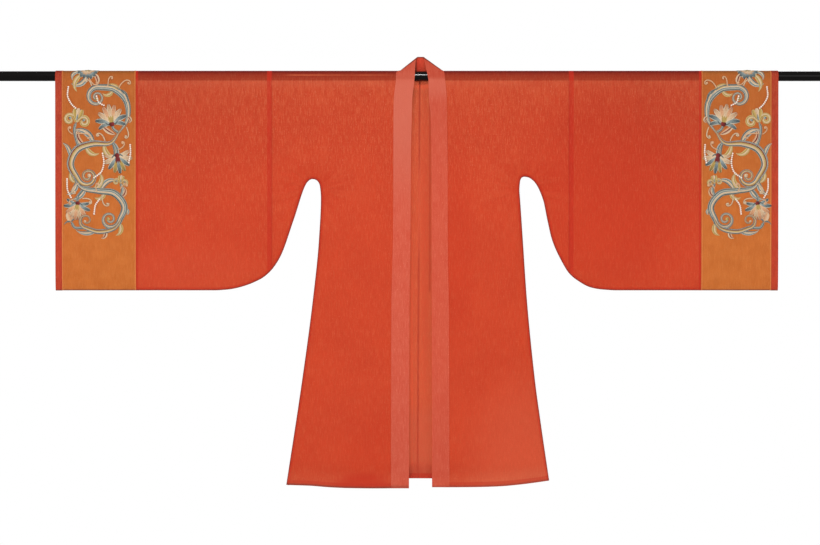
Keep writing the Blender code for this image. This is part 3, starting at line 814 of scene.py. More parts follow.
    def surface(self, grid):
        drawn = self.noises["pull"] * self.over(self.seam, "pucker", 1.0, 0.0)
        height = grid * relief["grid"]
        for kind in ("streak", "fine", "weft"):
            height = height + self.noises[kind] * relief[kind]
        return height + drawn * self.look["pucker"]

    def openness(self, holes):
        # how much light goes straight through
        share = self.look["open"]
        gaps = self.between(self.noises["fine"], 0.25, 0.8, share * 0.74, share * 1.06)
        gaps = gaps + holes * (self.look["weave"] * 0.35)
        if self.look["turnedIn"]:
            gaps = gaps * self.between(self.hem, 0.016, 0.060, 0.30, 1.0) * self.over(self.z, "veilTop", 0.30)
        return gaps


def clothFinish(name, look):
    make = ClothFinish(name, look)
    make.layThreads()
    make.layPlaces()
    rough = make.between(make.noises["streak"], 0.3, 0.8, 0.72, 0.50)
    if look["rodShade"]:
        rough = (rough + make.layRod() * 0.4).upTo(0.95)
    holes, grid = make.layHoles()
    make.layEdges()
    height = make.surface(grid)
    if look["gathers"]:
        height = height + make.layCreases() * relief["crease"]
    skin = make.principled(make.base, roughness=rough, normal=make.bump(height, look["bump"]),
                           specular=look["specular"], sheen=look["sheen"], sheenRoughness=0.45)
    veil = make.node("ShaderNodeBsdfTransparent", {"Color": (*look["veil"], 1.0)})
    return make.finish(make.node("ShaderNodeMixShader", {0: make.openness(holes), 1: skin, 2: veil}))


paleRed, deepRed = (0.80, 0.175, 0.080), (0.60, 0.026, 0.005)
foldShade, palePink = (0.16, 0.022, 0.010), (0.61, 0.134, 0.080)
bandInside = (("facing", 0.1, -0.1), ("y", 0.0, 0.0015), ("z", -0.012, -0.006))


def strip(low, high, top, bottom):
    # where a strip of the back's inside shows between the lapels: x from and to, z from and to
    return (("facing", 0.1, -0.1), ("y", 0.002, 0.006), ("x", low - 0.0015, low + 0.0015),
            ("x", high + 0.0015, high - 0.0015), ("z", bottom - 0.012, bottom + 0.012),
            ("z", top + 0.03, top - 0.03))


plainLook = {
    "thread": (0.72, 0.097, 0.030), "gold": (0.83, 0.19, 0.070), "cloudScale": 7.0, "lowShimmer": 0.40,
    "fine": 0.50, "paintedGlowReach": (-0.16, -0.018), "paintedGlow": 0.0, "nubs": 0.0, "nubColour": (0.88, 0.34, 0.19),
    "paintedShadeTone": (0.78, 0.80, 0.82), "upperShade": 0.48, "wristShade": 0.36, "patches": [], "layers": [],
    "rodShade": None, "rodHighlight": 0.0, "underRodSheen": 0.0, "turnedIn": None, "edgeShadeShare": None, "gathers": None,
    "weave": 0.16, "pitch": 0.0008, "seamDark": 0.0, "seamColour": (0.36, 0.020, 0.007), "pucker": 0.0,
    "bump": 0.00035, "specular": 0.22, "sheen": 0.05, "veil": (0.98, 0.54, 0.36),
}
sewnLook = dict(plainLook, seamDark=0.30, pucker=3.0, edgeShadeShare=0.48, edgeShadeColour=(0.15, 0.042, 0.025))
robeLook = dict(
    sewnLook, colour=(0.665, 0.061, 0.017), deep=(0.610, 0.050, 0.0138), slub=0.80, speck=0.55, paintedGlow=0.28,
    rodShade=(0.59, 0.68, 0.84, 0.98), rodShadeColour=(0.14, 0.0025, 0.0006), rodHighlight=0.42, underRodSheen=0.07,
    nubs=0.55, gathers=(0.318, -0.348), open=0.42,
    # soft patches of paler or deeper tone: middle in x and z, reach in x and z, strength and colour
    patches=[(-0.70, -0.62, 0.30, 0.14, 0.10, paleRed), (0.36, -1.18, 0.27, 0.34, 0.31, paleRed),
             (0.58, -0.32, 0.34, 0.40, 0.38, deepRed), (-0.13, -1.18, 0.16, 0.20, 0.18, deepRed),
             (0.014, -0.45, 0.016, 0.60, 0.45, deepRed), (0.105, -0.55, 0.075, 0.42, 0.22, deepRed),
             (-0.175, -1.245, 0.11, 0.045, 0.85, deepRed), (-0.345, -0.34, 0.13, 0.11, 0.22, deepRed),
             (0.335, -0.33, 0.12, 0.11, 0.15, deepRed)],
    # layers of colour: strength, colour and where
    # painted light: the back's inside just below the rod, painted paler
    layers=[(0.95, (0.97, 0.102, 0.037), strip(-0.05, 0.05, 0.03, -0.034)),
            # painted light: the back's inside beside the left lapel, painted paler
            (0.85, (0.83, 0.080, 0.027), strip(-0.0340, -0.0235, -0.03, -1.20)),
            # painted shadow: a dark line on the back's inside beside the right lapel's edge
            (0.75, (0.50, 0.016, 0.004), strip(0.0255, 0.0320, -0.06, -0.66)),
            (0.50, (0.59, 0.077, 0.037), strip(-0.034, 0.034, -1.02, -1.30))],
    turnedIn=[(-0.8670, -0.8595), (-0.4667, -0.4530), (0.4530, 0.4667), (0.8485, 0.8560)],
    turnedShare=0.46, turnedColour=(0.62, 0.016, 0.006), hemShare=0.5, hemShadeTone=(0.87, 0.92, 0.93),
    hemColour=(0.50, 0.030, 0.0100))
collarLook = dict(
    plainLook, colour=(0.612, 0.093, 0.047), deep=(0.577, 0.069, 0.032), thread=(0.66, 0.100, 0.052),
    gold=(0.73, 0.155, 0.092), lowShimmer=1.0, slub=0.60, speck=0.35, open=0.12, cloudScale=24.0, nubs=0.35,
    # the fold's ridge darkened as painted shade, the redder inside, darker on its left, with painted shade at
    # its left edge, the left lapel pale high up as a painted highlight, the right one warmer, both duller low
    # down with a painted shadow along the lower edge, a pale place on the right, and painted shade over the
    # rod
    layers=[(0.85, foldShade, (("thin", 0.0036, 0.0024), ("z", 0.016, 0.022))),
            (1.0, ((0.62, 0.038, 0.014), (0.70, 0.070, 0.031)), bandInside),
            (0.8, foldShade, (*bandInside, ("x", -0.0105, -0.0125))),
            (0.8, palePink, (("z", -0.50, -0.12), ("x", 0.0, -0.004), ("y", 0.0, -0.004),
                             ("z", 0.03, -0.03))),
            (1.0, (0.98, 0.90, 0.84), (("x", 0.0, 0.004),), "MULTIPLY"),
            (1.0, (0.94, 0.93, 0.93), (("z", -0.85, -1.20),), "MULTIPLY"),
            (0.75, (0.34, 0.048, 0.024), (("z", -1.2440, -1.2530),)),
            (0.6, palePink, (("z", -0.090, -0.035), ("z", 0.0, -0.012), ("x", 0.0, 0.004))),
            (1.0, (0.90, 0.82, 0.77), (("z", -0.016, -0.006), ("y", 0.0, -0.002)), "MULTIPLY")])
cuffLook = dict(
    sewnLook, colour=(0.610, 0.161, 0.0250), deep=(0.530, 0.127, 0.0155), thread=(0.65, 0.195, 0.035),
    gold=(0.74, 0.27, 0.064), lowShimmer=1.0, slub=0.40, speck=0.25, cloudScale=26.0, open=0.22,
    veil=(0.98, 0.45, 0.16), rodShade=(0.10, 0.13, 0.40, 0.76), rodShadeColour=(0.22, 0.072, 0.010), nubs=0.15,
    paintedShadeTone=(0.76, 0.73, 0.71))
bindingLook = dict(
    sewnLook, colour=(0.500, 0.040, 0.0120), deep=(0.410, 0.031, 0.0095), thread=(0.58, 0.058, 0.018),
    slub=0.40, speck=0.35, open=0.10, cloudScale=30.0, rodShade=(0.08, 0.16, 0.30, 0.62),
    rodShadeColour=robeLook["rodShadeColour"], nubs=0.2)

robeCloth = clothFinish("red slubbed gauze", robeLook)
collarCloth = clothFinish("coral collar cloth", collarLook)
cuffCloth = clothFinish("orange cuff cloth", cuffLook)
bindingCloth = clothFinish("dark red binding cloth", bindingLook)

clothThickness = {"robe": 0.0005, "cuff": 0.0006, "binding": 0.0016}


def makeCloth():
    made = {}
    for label, half in halves.items():
        mesh = clothMesh(f"body{label}Cloth", bodyPatches(half))
        markSeams(mesh, half, [half["extension"]])
        size = flatSize(mesh)
        body = clothPiece(mesh, clothThickness["robe"], robeCloth)
        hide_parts(f"body_{label.lower()}")
        made["body" + label] = body, size
        for part, node, outer, inner, thick, finish, slot in (
                ("sleeve", "sleeve", "cuff", "extension", "robe", robeCloth, "robe"),
                ("cuff", "cuff_band", "binding", "cuff", "cuff", cuffCloth, "cuff"),
                ("binding", "wrist_binding", "wrist", "binding", "binding", bindingCloth, "binding")):
            step = drape["bindingStep" if part == "binding" else "step"]
            mesh = clothMesh(f"{part}{label}Cloth", tubePatches(half, half[outer], half[inner], step))
            markSeams(mesh, half, [half[outer], half[inner]])
            size = flatSize(mesh)
            piece = clothPiece(mesh, clothThickness[thick], finish)
            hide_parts(f"{node}_{label.lower()}")
            made[part + label] = piece, size
    patches = collarPatches(leftHalf) + collarPatches(rightHalf)
    mesh = clothMesh("collarCloth", patches)
    size = flatSize(mesh)
    band = clothPiece(mesh, collar["thickness"], collarCloth)
    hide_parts("collar_band")
    made["collar"] = band, size
    print("cloth made:", len(made), "pieces")
    return made


cloth = makeCloth()
trims = {name: [] for name in cloth}  # what is sewn to each sheet of cloth


# Seams and hems: what is turned in behind them, and the stitches that hold them

sewing = {
    "sleeveAllowance": 0.0137,  # pressed outwards from the seam between sleeve and body
    "cuffAllowance": 0.0075,
    "sideAllowance": 0.0085, "sideMiddle": 0.0045,
    "backAllowance": 0.0052,
    "hem": 0.0155,
    "turned": 0.0007,  # thickness of what is turned in
    "behind": -0.00085,  # how far it lies inside the cloth
    "clear": 0.0012,  # how far it stays from the joined edges
    "cuffFold": 0.0036, "foldStart": 0.0002, "foldThickness": 0.0005,  # the cuff band's folded edges
    "hemStep": 0.011, "edgeStep": 0.007,  # size of the mesh of the hem and of the joined edges
    "rowPoints": 60, "cuffRow": 0.0026, "edgeRow": 0.0022,  # how far rows of stitches lie from the edges
    "close": 0.0003,  # how near trims lie to what they are sewn to
    "stitch": 0.0027, "pitch": 0.0049, "thread": 0.00024,
    "threads": {"red": (0.60, 0.075, 0.03), "orange": (0.72, 0.26, 0.09), "coral": (0.74, 0.19, 0.12)},
}

allowanceLook = dict(plainLook, colour=(0.50, 0.016, 0.006), deep=(0.46, 0.014, 0.005),
                     thread=(0.55, 0.030, 0.012), slub=0.1, speck=0.05, open=0.10)
backSeamLook = dict(allowanceLook, colour=(0.60, 0.080, 0.032), deep=(0.57, 0.068, 0.027), open=0.20,
                    # painted light: the allowance painted paler partway down the back
                    patches=[(0.0, -0.40, 0.08, 0.17, 0.9, (0.76, 0.11, 0.044))])
hemLook = dict(allowanceLook, colour=(0.53, 0.040, 0.0135), deep=(0.50, 0.035, 0.0115))
foldLook = dict(cuffLook, edgeShadeShare=None, colour=(0.63, 0.185, 0.041), deep=(0.59, 0.162, 0.035), seamDark=0.0,
                pucker=0.0, rodShade=None, open=0.08)
allowanceCloth = clothFinish("red cloth turned in", allowanceLook)
backSeamCloth = clothFinish("red cloth of the back seam", backSeamLook)
hemCloth = clothFinish("red cloth of the hem", hemLook)
foldCloth = clothFinish("folded edge of the orange band", foldLook)


def ringPatches(half, outer, inner, lift, columns=3):
    xs = np.linspace(outer, inner, columns)
    return [sleeveGrid(half, xs, face, drape["step"] * 1.4, lift) for face in (-1, 1)]


def hemPatch(half, face, lift):
    x, z = skirtPlaces(half, face, sewing["hemStep"])
    hemX, hemLevel = x[-1], z[-1]
    share = np.linspace(0, 1, len(hemX))
    if face > 0:
        inner = np.linspace(half["neck"], float(backMiddle(half, drape["backHem"])) + 0.0004, 8)[1:]
        hemX = np.concatenate([hemX, inner])
        hemLevel = np.concatenate([hemLevel, hemZ(half, inner, 1)])
        share = np.concatenate([share, np.ones(len(inner))])
    up = np.linspace(0.0004, sewing["hem"], 5)[:, None]
    cornerX, cornerZ = half["sideEdge"][-1]
    level = hemLevel + up
    drawnIn = (xAt(half["sideEdge"], cornerZ + up) - cornerX) * (1 - share)
    place = hemX + drawnIn - sewing["clear"] * (1 - share)
    return patch(half, place, alongCloth(level, face), face, lift)


def edgeStrip(half):
    # the joined edges of front and back, turned in between them along the underarm and the side
    line = evenly(half["line"], sewing["edgeStep"])
    ahead = np.gradient(line, axis=0)
    inward = np.stack([ahead[:, 1], -ahead[:, 0]], 1) / np.linalg.norm(ahead, axis=1, keepdims=True)
    middle = line[len(line) // 4] + 0.02 * inward[len(line) // 4]
    if middle[1] < line[len(line) // 4][1]:
        inward = -inward
    offsets = np.array([sewing["clear"], sewing["sideMiddle"], sewing["sideAllowance"]])
    places = line[:, None] + inward[:, None] * offsets[None, :, None]
    x, z = places[..., 0], places[..., 1]
    across = half["side"] * x
    grid = np.stack([across, swayAt(across, z), z], -1)
    return grid, np.stack([across, z], -1), -1


def stitchRow(half, x, s, lift):
    # middle, direction and outward way of each stitch of a row that runs along x and s on the cloth
    path = np.stack([np.asarray(x, float), np.asarray(s, float)], 1)
    path = evenly(path, sewing["pitch"])
    here = onCloth(half, path[:, 0], path[:, 1], lift)
    ahead = np.gradient(here, axis=0)
    ahead /= np.linalg.norm(ahead, axis=1, keepdims=True)
    out = onCloth(half, path[:, 0], path[:, 1], lift + 0.001) - here
    out /= np.maximum(np.linalg.norm(out, axis=1, keepdims=True), 1e-9)
    return here, ahead, out


def stitchesPiece(name, rows, material):
    here, ahead, out = (np.concatenate([row[n] for row in rows]) for n in range(3))
    side = np.cross(ahead, out)
    length, thick = sewing["stitch"] / 2, sewing["thread"]
    corners = np.stack([here - ahead * length - out * thick, here + side * thick, here + out * thick,
                        here - side * thick, here - out * thick, here + ahead * length - out * thick], 1)
    faces = np.array([(0, 2, 1), (0, 3, 2), (0, 4, 3), (0, 1, 4), (5, 1, 2), (5, 2, 3), (5, 3, 4), (5, 4, 1)])
    faces = faces[None] + 6 * np.arange(len(here))[:, None, None]
    mesh = newMesh(name, corners.reshape(-1, 3), faces.reshape(-1, 3))
    smooth(mesh, material, sharp=False)
    return newPiece(mesh)


def threadFinish(name, colour):
    make = Finish(name)
    x, y, z = make.objectPlace()
    grain = make.noise(x * 900, y * 900, z * 900)
    tone = make.mix(make.between(grain, 0.3, 0.7) * 0.4, colour, tuple(0.7 * part for part in colour))
    return make.finish(make.principled(tone, roughness=0.55, specular=0.3, sheen=0.1))


def sewOn(sheet, name, patches, material, thickness=sewing["turned"]):
    trims[sheet].append(clothPiece(clothMesh(name, patches), thickness, material))


def makeSewing():
    redThread, orangeThread, coralThread = (threadFinish(f"{name} sewing thread", colour)
                                            for name, colour in sewing["threads"].items())
    behind, close = sewing["behind"], sewing["close"]
    for label, half in halves.items():
        seam, cuff, binding = half["extension"], half["cuff"], half["binding"]
        sewOn("sleeve" + label, "seamAllowances" + label,
              ringPatches(half, seam + sewing["sleeveAllowance"], seam + close, behind)
              + ringPatches(half, cuff - close, cuff - sewing["cuffAllowance"], behind), allowanceCloth)
        sewOn("body" + label, "hemTurn" + label, [hemPatch(half, face, behind) for face in (-1, 1)], hemCloth)
        sewOn("body" + label, "edgeAllowance" + label, [edgeStrip(half)], allowanceCloth)
        lift, start, fold = clothThickness["cuff"] / 2 + close, sewing["foldStart"], sewing["cuffFold"]
        sewOn("cuff" + label, "cuffFolds" + label,
              ringPatches(half, binding - start, binding - fold, lift)
              + ringPatches(half, cuff + fold, cuff + start, lift),
              foldCloth, sewing["foldThickness"])
        # stitches: places along each row
        many = sewing["rowPoints"]
        levels = np.linspace(0.0, 0.985, many)
        bottom = float(bottomAt(half, cuff))
        rows, foldRows = [], []
        for face in (-1, 1):
            s = face * (rodArc - levels * bottom)
            for x in (binding - sewing["cuffRow"], cuff + sewing["cuffRow"]):
                foldRows.append(stitchRow(half, np.full(many, x), s, lift + close))
            rows.append(stitchRow(half, np.full(many, binding + sewing["edgeRow"]), s, 0.0009))
            x, z = skirtPlaces(half, face, sewing["hemStep"])
            inner = frontEdge(half, z[-1, -1]) + 0.003 if face < 0 else backMiddle(half, drape["backHem"])
            along = np.linspace(x[-1, 0] - 0.004, float(inner), many)
            s = alongCloth(hemZ(half, along, face) + sewing["hem"], face)
            rows.append(stitchRow(half, along, s, close))
        z = np.linspace(-0.002, -1.245, 160)
        bandRow = stitchRow(half, frontEdge(half, z) - sewing["edgeRow"], alongCloth(z, -1),
                            collar["proud"] + collar["thickness"] / 2 + 0.0001)
        trims["body" + label].append(stitchesPiece(f"hemStitches{label}", rows, redThread))
        trims["cuff" + label].append(stitchesPiece(f"cuffStitches{label}", foldRows, orangeThread))
        trims["collar"].append(stitchesPiece(f"collarStitches{label}", [bandRow], coralThread))
    # the centre-back seam's allowance, turned to the left on the inside
    z = np.linspace(-0.004, drape["backHem"] + 0.001, 180)
    xs = -backMiddle(rightHalf, z)[:, None] + np.linspace(0.0004, sewing["backAllowance"], 3)[None]
    sewOn("bodyLeft", "backSeamAllowance", [patch(leftHalf, xs, alongCloth(z, 1)[:, None], 1, behind)],
          backSeamCloth)
    print("seams and stitches made")


# Embroidery on the cuff bands: padded satin stitch in silk, and strings of small pearls.
# Places are in millimetres on the flat band: across from its middle towards the wrist, and down from
# the top of the rod. Headings are in degrees, 0 towards the wrist and 90 down.

silk = {
    # shade of each thread from the root or one edge to the other, with its outline
    "blue": {"tones": [(0.0, (0.52, 0.56, 0.52)), (0.35, (0.29, 0.36, 0.37)), (0.65, (0.135, 0.19, 0.21)),
                       (1.0, (0.045, 0.065, 0.08))], "edge": (0.74, 0.68, 0.54)},
    "slate": {"tones": [(0.0, (0.27, 0.32, 0.31)), (0.40, (0.12, 0.165, 0.175)), (0.75, (0.05, 0.075, 0.09)),
                        (1.0, (0.024, 0.035, 0.045))], "edge": (0.60, 0.58, 0.48)},
    "gold": {"tones": [(0.0, (0.66, 0.48, 0.17)), (0.40, (0.52, 0.36, 0.09)), (0.75, (0.36, 0.25, 0.06)),
                       (1.0, (0.19, 0.13, 0.035))], "edge": (0.76, 0.60, 0.32)},
    "cream": {"tones": [(0.0, (0.76, 0.64, 0.48)), (0.45, (0.68, 0.51, 0.34)), (0.80, (0.55, 0.35, 0.21)),
                        (1.0, (0.36, 0.18, 0.095))], "edge": (0.80, 0.69, 0.52)},
    "peach": {"tones": [(0.0, (0.78, 0.56, 0.37)), (0.35, (0.74, 0.45, 0.26)), (0.70, (0.62, 0.31, 0.16)),
                        (1.0, (0.42, 0.16, 0.08))], "edge": (0.80, 0.58, 0.38)},
    "red": {"tones": [(0.0, (0.32, 0.022, 0.018)), (0.50, (0.20, 0.009, 0.010)), (0.80, (0.11, 0.005, 0.008)),
                      (1.0, (0.06, 0.003, 0.006))], "edge": (0.20, 0.012, 0.012)},
}
stitchLook = {"pitch": 0.0005, "slant": 0.0011, "tuft": (2400, 3.0), "group": (760, 1.6),
              "edgeAt": (0.68, 0.76), "outlineAt": (0.87, 0.93), "outline": (0.030, 0.022, 0.022),
              "warmth": (1.0, 0.94, 0.86), "bump": 0.00014, "roughness": 0.42, "specular": 0.40,
              "sheen": 0.10}
pearlLook = {"deep": (0.80, 0.64, 0.53), "colour": (0.86, 0.78, 0.70), "grain": 300, "roughness": 0.28,
             "specular": 0.5, "coat": 0.3, "coatRoughness": 0.15}
threads = list(silk)


def silkFinish(name):
    look = silk[name]
    make = Finish(name + " silk stitching")
    u, v = make.clothPlace()
    shade = make.attribute("shade")
    tuft, group = (make.noise(u * stitchLook[kind][0], v * stitchLook[kind][1]) for kind in ("tuft", "group"))
    blend = shade + (tuft - 0.5) * 0.30 + (group - 0.5) * 0.55
    tone = make.node("ShaderNodeValToRGB", {"Fac": blend})
    stops = tone.socket.node.color_ramp.elements
    for place, colour in look["tones"]:
        stop = stops[0] if place == 0.0 else stops[-1] if place == 1.0 else stops.new(place)
        stop.color = (*colour, 1.0)
    side = v.size()
    tone = make.mix(make.between(side + (group - 0.5) * 0.10, *stitchLook["edgeAt"]), tone, look["edge"])
    # the dark outline at each shape's edge: partly a dark outlining thread, partly painted shadow of the
    # raised stitching
    tone = make.mix(make.between(side, *stitchLook["outlineAt"]), tone, stitchLook["outline"])
    tone = make.mix(make.between(tuft, 0.25, 0.75) * 0.20 + make.between(group, 0.30, 0.70) * 0.13, tone,
                    (0.0, 0.0, 0.0))
    tone = make.mix(1.0, tone, stitchLook["warmth"], "MULTIPLY")
    lay = ((u + v * stitchLook["slant"]) * (2 * math.pi / stitchLook["pitch"])).sine()
    normal = make.bump(lay * 0.5 + tuft * 0.8, stitchLook["bump"])
    return make.finish(make.principled(tone, roughness=stitchLook["roughness"], normal=normal,
                                       specular=stitchLook["specular"], sheen=stitchLook["sheen"]))


def pearlFinish():
    make = Finish("pale pink pearl")
    x, y, z = make.objectPlace()
    grain = make.noise(*(place * pearlLook["grain"] for place in (x, y, z)))
    tone = make.mix(make.between(grain, 0.35, 0.65), pearlLook["deep"], pearlLook["colour"])
    settings = {key: pearlLook[key] for key in ("roughness", "specular", "coat", "coatRoughness")}
    return make.finish(make.principled(tone, **settings))


def smoothPath(points, spacing):
    p = np.array(points, dtype=float)
    ends = np.vstack([2 * p[0] - p[1], p, 2 * p[-1] - p[-2]])
    t = np.linspace(0, len(p) - 1, 30 * len(p))
    i = np.minimum(t.astype(int), len(p) - 2)
    f = (t - i)[:, None]
    a, b, c, d = ends[i], ends[i + 1], ends[i + 2], ends[i + 3]
    line = 0.5 * (2 * b + (c - a) * f + (2 * a - 5 * b + 4 * c - d) * f ** 2
                  + (3 * b - a - 3 * c + d) * f ** 3)
    return evenly(line, spacing)


def evenly(line, spacing):
    runs = np.concatenate([[0], np.cumsum(np.linalg.norm(np.diff(line, axis=0), axis=1))])
    count = max(5, round(runs[-1] / spacing))
    at = np.linspace(0, runs[-1], count + 1)
    return np.stack([np.interp(at, runs, line[:, 0]), np.interp(at, runs, line[:, 1])], 1)


def swept(start, heading, length, curl, spacing, late=1.0):
    # a path that sets out at a heading and turns by curl in all, later in its run when late is over 1
    t = np.linspace(0, 1, 90)
    angle = np.radians(heading + curl * t ** late)
    step = np.stack([np.cos(angle), np.sin(angle)], 1) * length / 89
    line = np.array(start, dtype=float) + np.concatenate([[[0, 0]], np.cumsum(step, 0)[:-1]])
    return evenly(line, spacing)


def spiralled(line, turn, wide, tight, spacing):
    # goes on from the end of a path into a spiral that tightens
    ahead = line[-1] - line[-2]
    angle, parts = math.atan2(ahead[1], ahead[0]), 60
    part = math.radians(turn) / parts
    points = [line[-1]]
    for n in range(parts):
        angle += part
        reach = abs(part) * (wide + (tight - wide) * (n / parts) ** 0.7)
        points.append(points[-1] + reach * np.array([math.cos(angle), math.sin(angle)]))
    return evenly(np.vstack([line, points[1:]]), spacing)


def leftOf(path):
    steps = np.gradient(path, axis=0)
    return np.stack([steps[:, 1], -steps[:, 0]], 1) / np.maximum(np.linalg.norm(steps, axis=1), 1e-9)[:, None]


# how wide a stitched shape is along its run
outlines = {
    "leaf": lambda t: np.sin(np.pi * t ** 0.75) ** 0.8,
    "comma": lambda t: np.minimum(1, t / 0.10) ** 0.5 * (1 - t) ** 0.62,
    "petal": lambda t: np.clip(np.sin(np.pi * np.clip(t * 0.86 + 0.10, 0, 1) ** 1.5), 0, 1) ** 0.62,
    "stem": lambda t: np.minimum(1, np.minimum(t / 0.06, (1 - t) / 0.14)) ** 0.6,
    "scroll": lambda t: 0.16 + 0.84 * np.sin(np.pi * np.clip(t * 1.12, 0, 1) ** 0.85) ** 1.3 + 0.20 * t ** 2,
    "plume": lambda t: 0.10 + 0.90 * np.sin(np.pi * t ** 0.8) ** 1.1,
}


class Needlework:
    # gathers stitched shapes on one flat band, and then lays them on a cuff
    def __init__(self):
        self.rings, self.pearlPlaces = [], []

    def satin(self, path, widths, thread, height=0.9, lift=0.0, across=4, along=False):
        t = np.linspace(0, 1, len(path))
        c = np.linspace(-1, 1, across + 1)
        swell = np.sqrt(widths / max(widths))
        flat = path[:, None] + leftOf(path)[:, None] * (widths / 2)[:, None, None] * c[None, :, None]
        rise = lift + 0.12 + height * (1 - np.abs(c) ** 2.4) ** 0.7 * swell[:, None]
        ring = np.concatenate([flat, flat[:, [-1, 0]]], 1)
        raised = np.concatenate([rise, np.full((len(path), 2), -0.25)], 1)
        run = np.concatenate([[0], np.cumsum(np.linalg.norm(np.diff(path, axis=0), axis=1))]) / 1000
        sides = np.concatenate([c, [1.0, -1.0]])
        place = np.stack(np.broadcast_arrays(run[:, None], sides[None]), -1)
        shade = np.broadcast_to(t[:, None] if along else (sides[None] + 1) / 2, raised.shape)
        self.rings.append((ring, raised, place, shade, threads.index(thread)))

    def shape(self, path, width, outline, thread, **more):
        t = np.linspace(0, 1, len(path))
        self.satin(path, width * np.maximum(outlines[outline](t), 0.06), thread, **more)

    def sweep(self, start, heading, length, curl, width, outline, thread, late=1.0, **more):
        path = swept(start, heading, length, curl, 2.4 if length > 16 else 1.6, late)
        self.shape(path, width, outline, thread, **more)
        return path[-1]

    def bands(self, path, width, outline, stripes, lift=0.0):
        # stripes of silk side by side that swell and narrow together
        widths = width * outlines[outline](np.linspace(0, 1, len(path)))
        left = leftOf(path)
        for low, high, thread in stripes:
            off = (low + high) / 4 * widths
            self.satin(path + left * off[:, None], (high - low) / 2 * widths * 1.05 + 0.25, thread,
                       height=0.8, lift=lift)

    def scroll(self, points, turn, wide, tight, width, stripes, head=None, lift=0.0):
        path = spiralled(smoothPath(points, 2.6), turn, wide, tight, 2.5)
        self.bands(path, width, "scroll", stripes, lift)
        self.dot(path[-1], 0.52 * width, head or stripes[-1][2], lift=lift + 0.5)

    def plume(self, start, heading, length, curl, width, stripes, late=1.6, lift=0.0):
        self.bands(swept(start, heading, length, curl, 2.3, late), width, "plume", stripes, lift)

    def dot(self, at, size, thread, lift=0.3):
        path = np.array(at) + np.stack([np.linspace(-size, size, 9) / 2, np.zeros(9)], 1)
        widths = size * np.sqrt(np.maximum(1 - np.linspace(-1, 1, 9) ** 2, 0.03))
        self.satin(path, widths, thread, lift=lift, along=True)

    def tendril(self, start, heading, length, bend, curl, width, thread):
        t = np.linspace(0, 1, 110)
        angle = np.radians(heading + bend * t + curl * t ** 3)
        pace = (1.35 - 0.85 * t)
        pace *= length / pace.sum()
        line = np.array(start, dtype=float) + np.cumsum(np.stack([np.cos(angle), np.sin(angle)], 1)
                                                        * pace[:, None], 0)
        self.shape(evenly(line, 1.9), width, "stem", thread, height=0.7, lift=1.2)
        self.dot(line[-1], width * 1.9, thread, lift=1.4)

    def flower(self, centre, rings, turn=0.0):
        for count, start, length, width, thread, lift in rings:
            for n in range(count):
                angle = turn + 360 * n / count + 40 * lift
                at = (centre[0] + start * math.cos(math.radians(angle)),
                      centre[1] + start * math.sin(math.radians(angle)))
                uneven = 1 + 0.08 * math.sin(2.4 * n + centre[1])
                self.sweep(at, angle, length * uneven, 14, width, "petal", thread, lift=lift, along=True)

    def petals(self, at, heading, size, rows, along=True):
        # turn from the heading, length, curl, width, outline, thread and lift; a turned row has two sides
        for turn, length, curl, width, outline, thread, lift in rows:
            for side in (-1, 1) if turn else (0,):
                self.sweep(at, heading + turn * side, size * length, curl * side, width * size, outline,
                           thread, lift=lift, along=along and outline == "petal")

    def lotus(self, at, heading, size, outer, middle, inner, heart):
        # a blossom seen from its side, its outer petals curling back
        self.petals(at, heading, size, [
            (80, 0.80, 46, 0.27, "petal", outer, 0.0), (56, 0.95, 30, 0.31, "petal", outer, 0.2),
            (34, 0.98, 16, 0.31, "petal", middle, 0.4), (15, 1.06, 6, 0.29, "petal", inner, 0.6),
            (0, 1.12, 0, 0.30, "petal", middle, 0.8), (16, 0.52, 0, 0.17, "leaf", heart, 1.1),
            (0, 0.52, 0, 0.17, "leaf", heart, 1.1)])
        self.dot(at, 0.30 * size, "red", lift=1.3)
        self.petals(at, heading, size, [(118, 0.62, -150, 0.16, "comma", "slate", 0.3)])

    def cloudHead(self, at, heading, size, body, rim, heart):
        # two volutes that roll outwards and a crown between them, like a cloud's head
        ahead = size * np.array([math.cos(math.radians(heading)), math.sin(math.radians(heading))])
        for side in (-1, 1):
            path = spiralled(swept(at, heading + 14 * side, 0.55 * size, 30 * side, 1.8), 400 * side,
                             0.52 * size, 0.14 * size, 1.9)
            self.bands(path, 0.34 * size, "stem", [(-1, -0.1, body), (-0.1, 0.5, rim), (0.5, 1, body)])
            self.dot(path[-1], 0.26 * size, heart, lift=0.8)
        self.petals(at + 0.25 * ahead, heading, size, [
            (34, 1.05, -30.6, 0.44, "petal", body, 0.5), (0, 1.05, 0, 0.44, "petal", rim, 0.7)], along=False)
        self.petals(at + 0.2 * ahead, heading, size, [(0, 0.6, 0, 0.2, "leaf", heart, 1.2)])

    def bud(self, at, heading, size, body, inner, sepal):
        self.petals(at, heading, size, [
            (26, 0.844, -23.4, 0.36, "leaf", body, 0.0), (11, 0.934, -9.9, 0.36, "leaf", inner, 0.4),
            (0, 1.0, 0, 0.36, "leaf", body, 0.8), (48, 0.8, 95, 0.20, "comma", sepal, 0.3)])

    def pearls(self, points, radius, spacing):
        self.pearlPlaces += [(*at, radius) for at in smoothPath(points, spacing)]


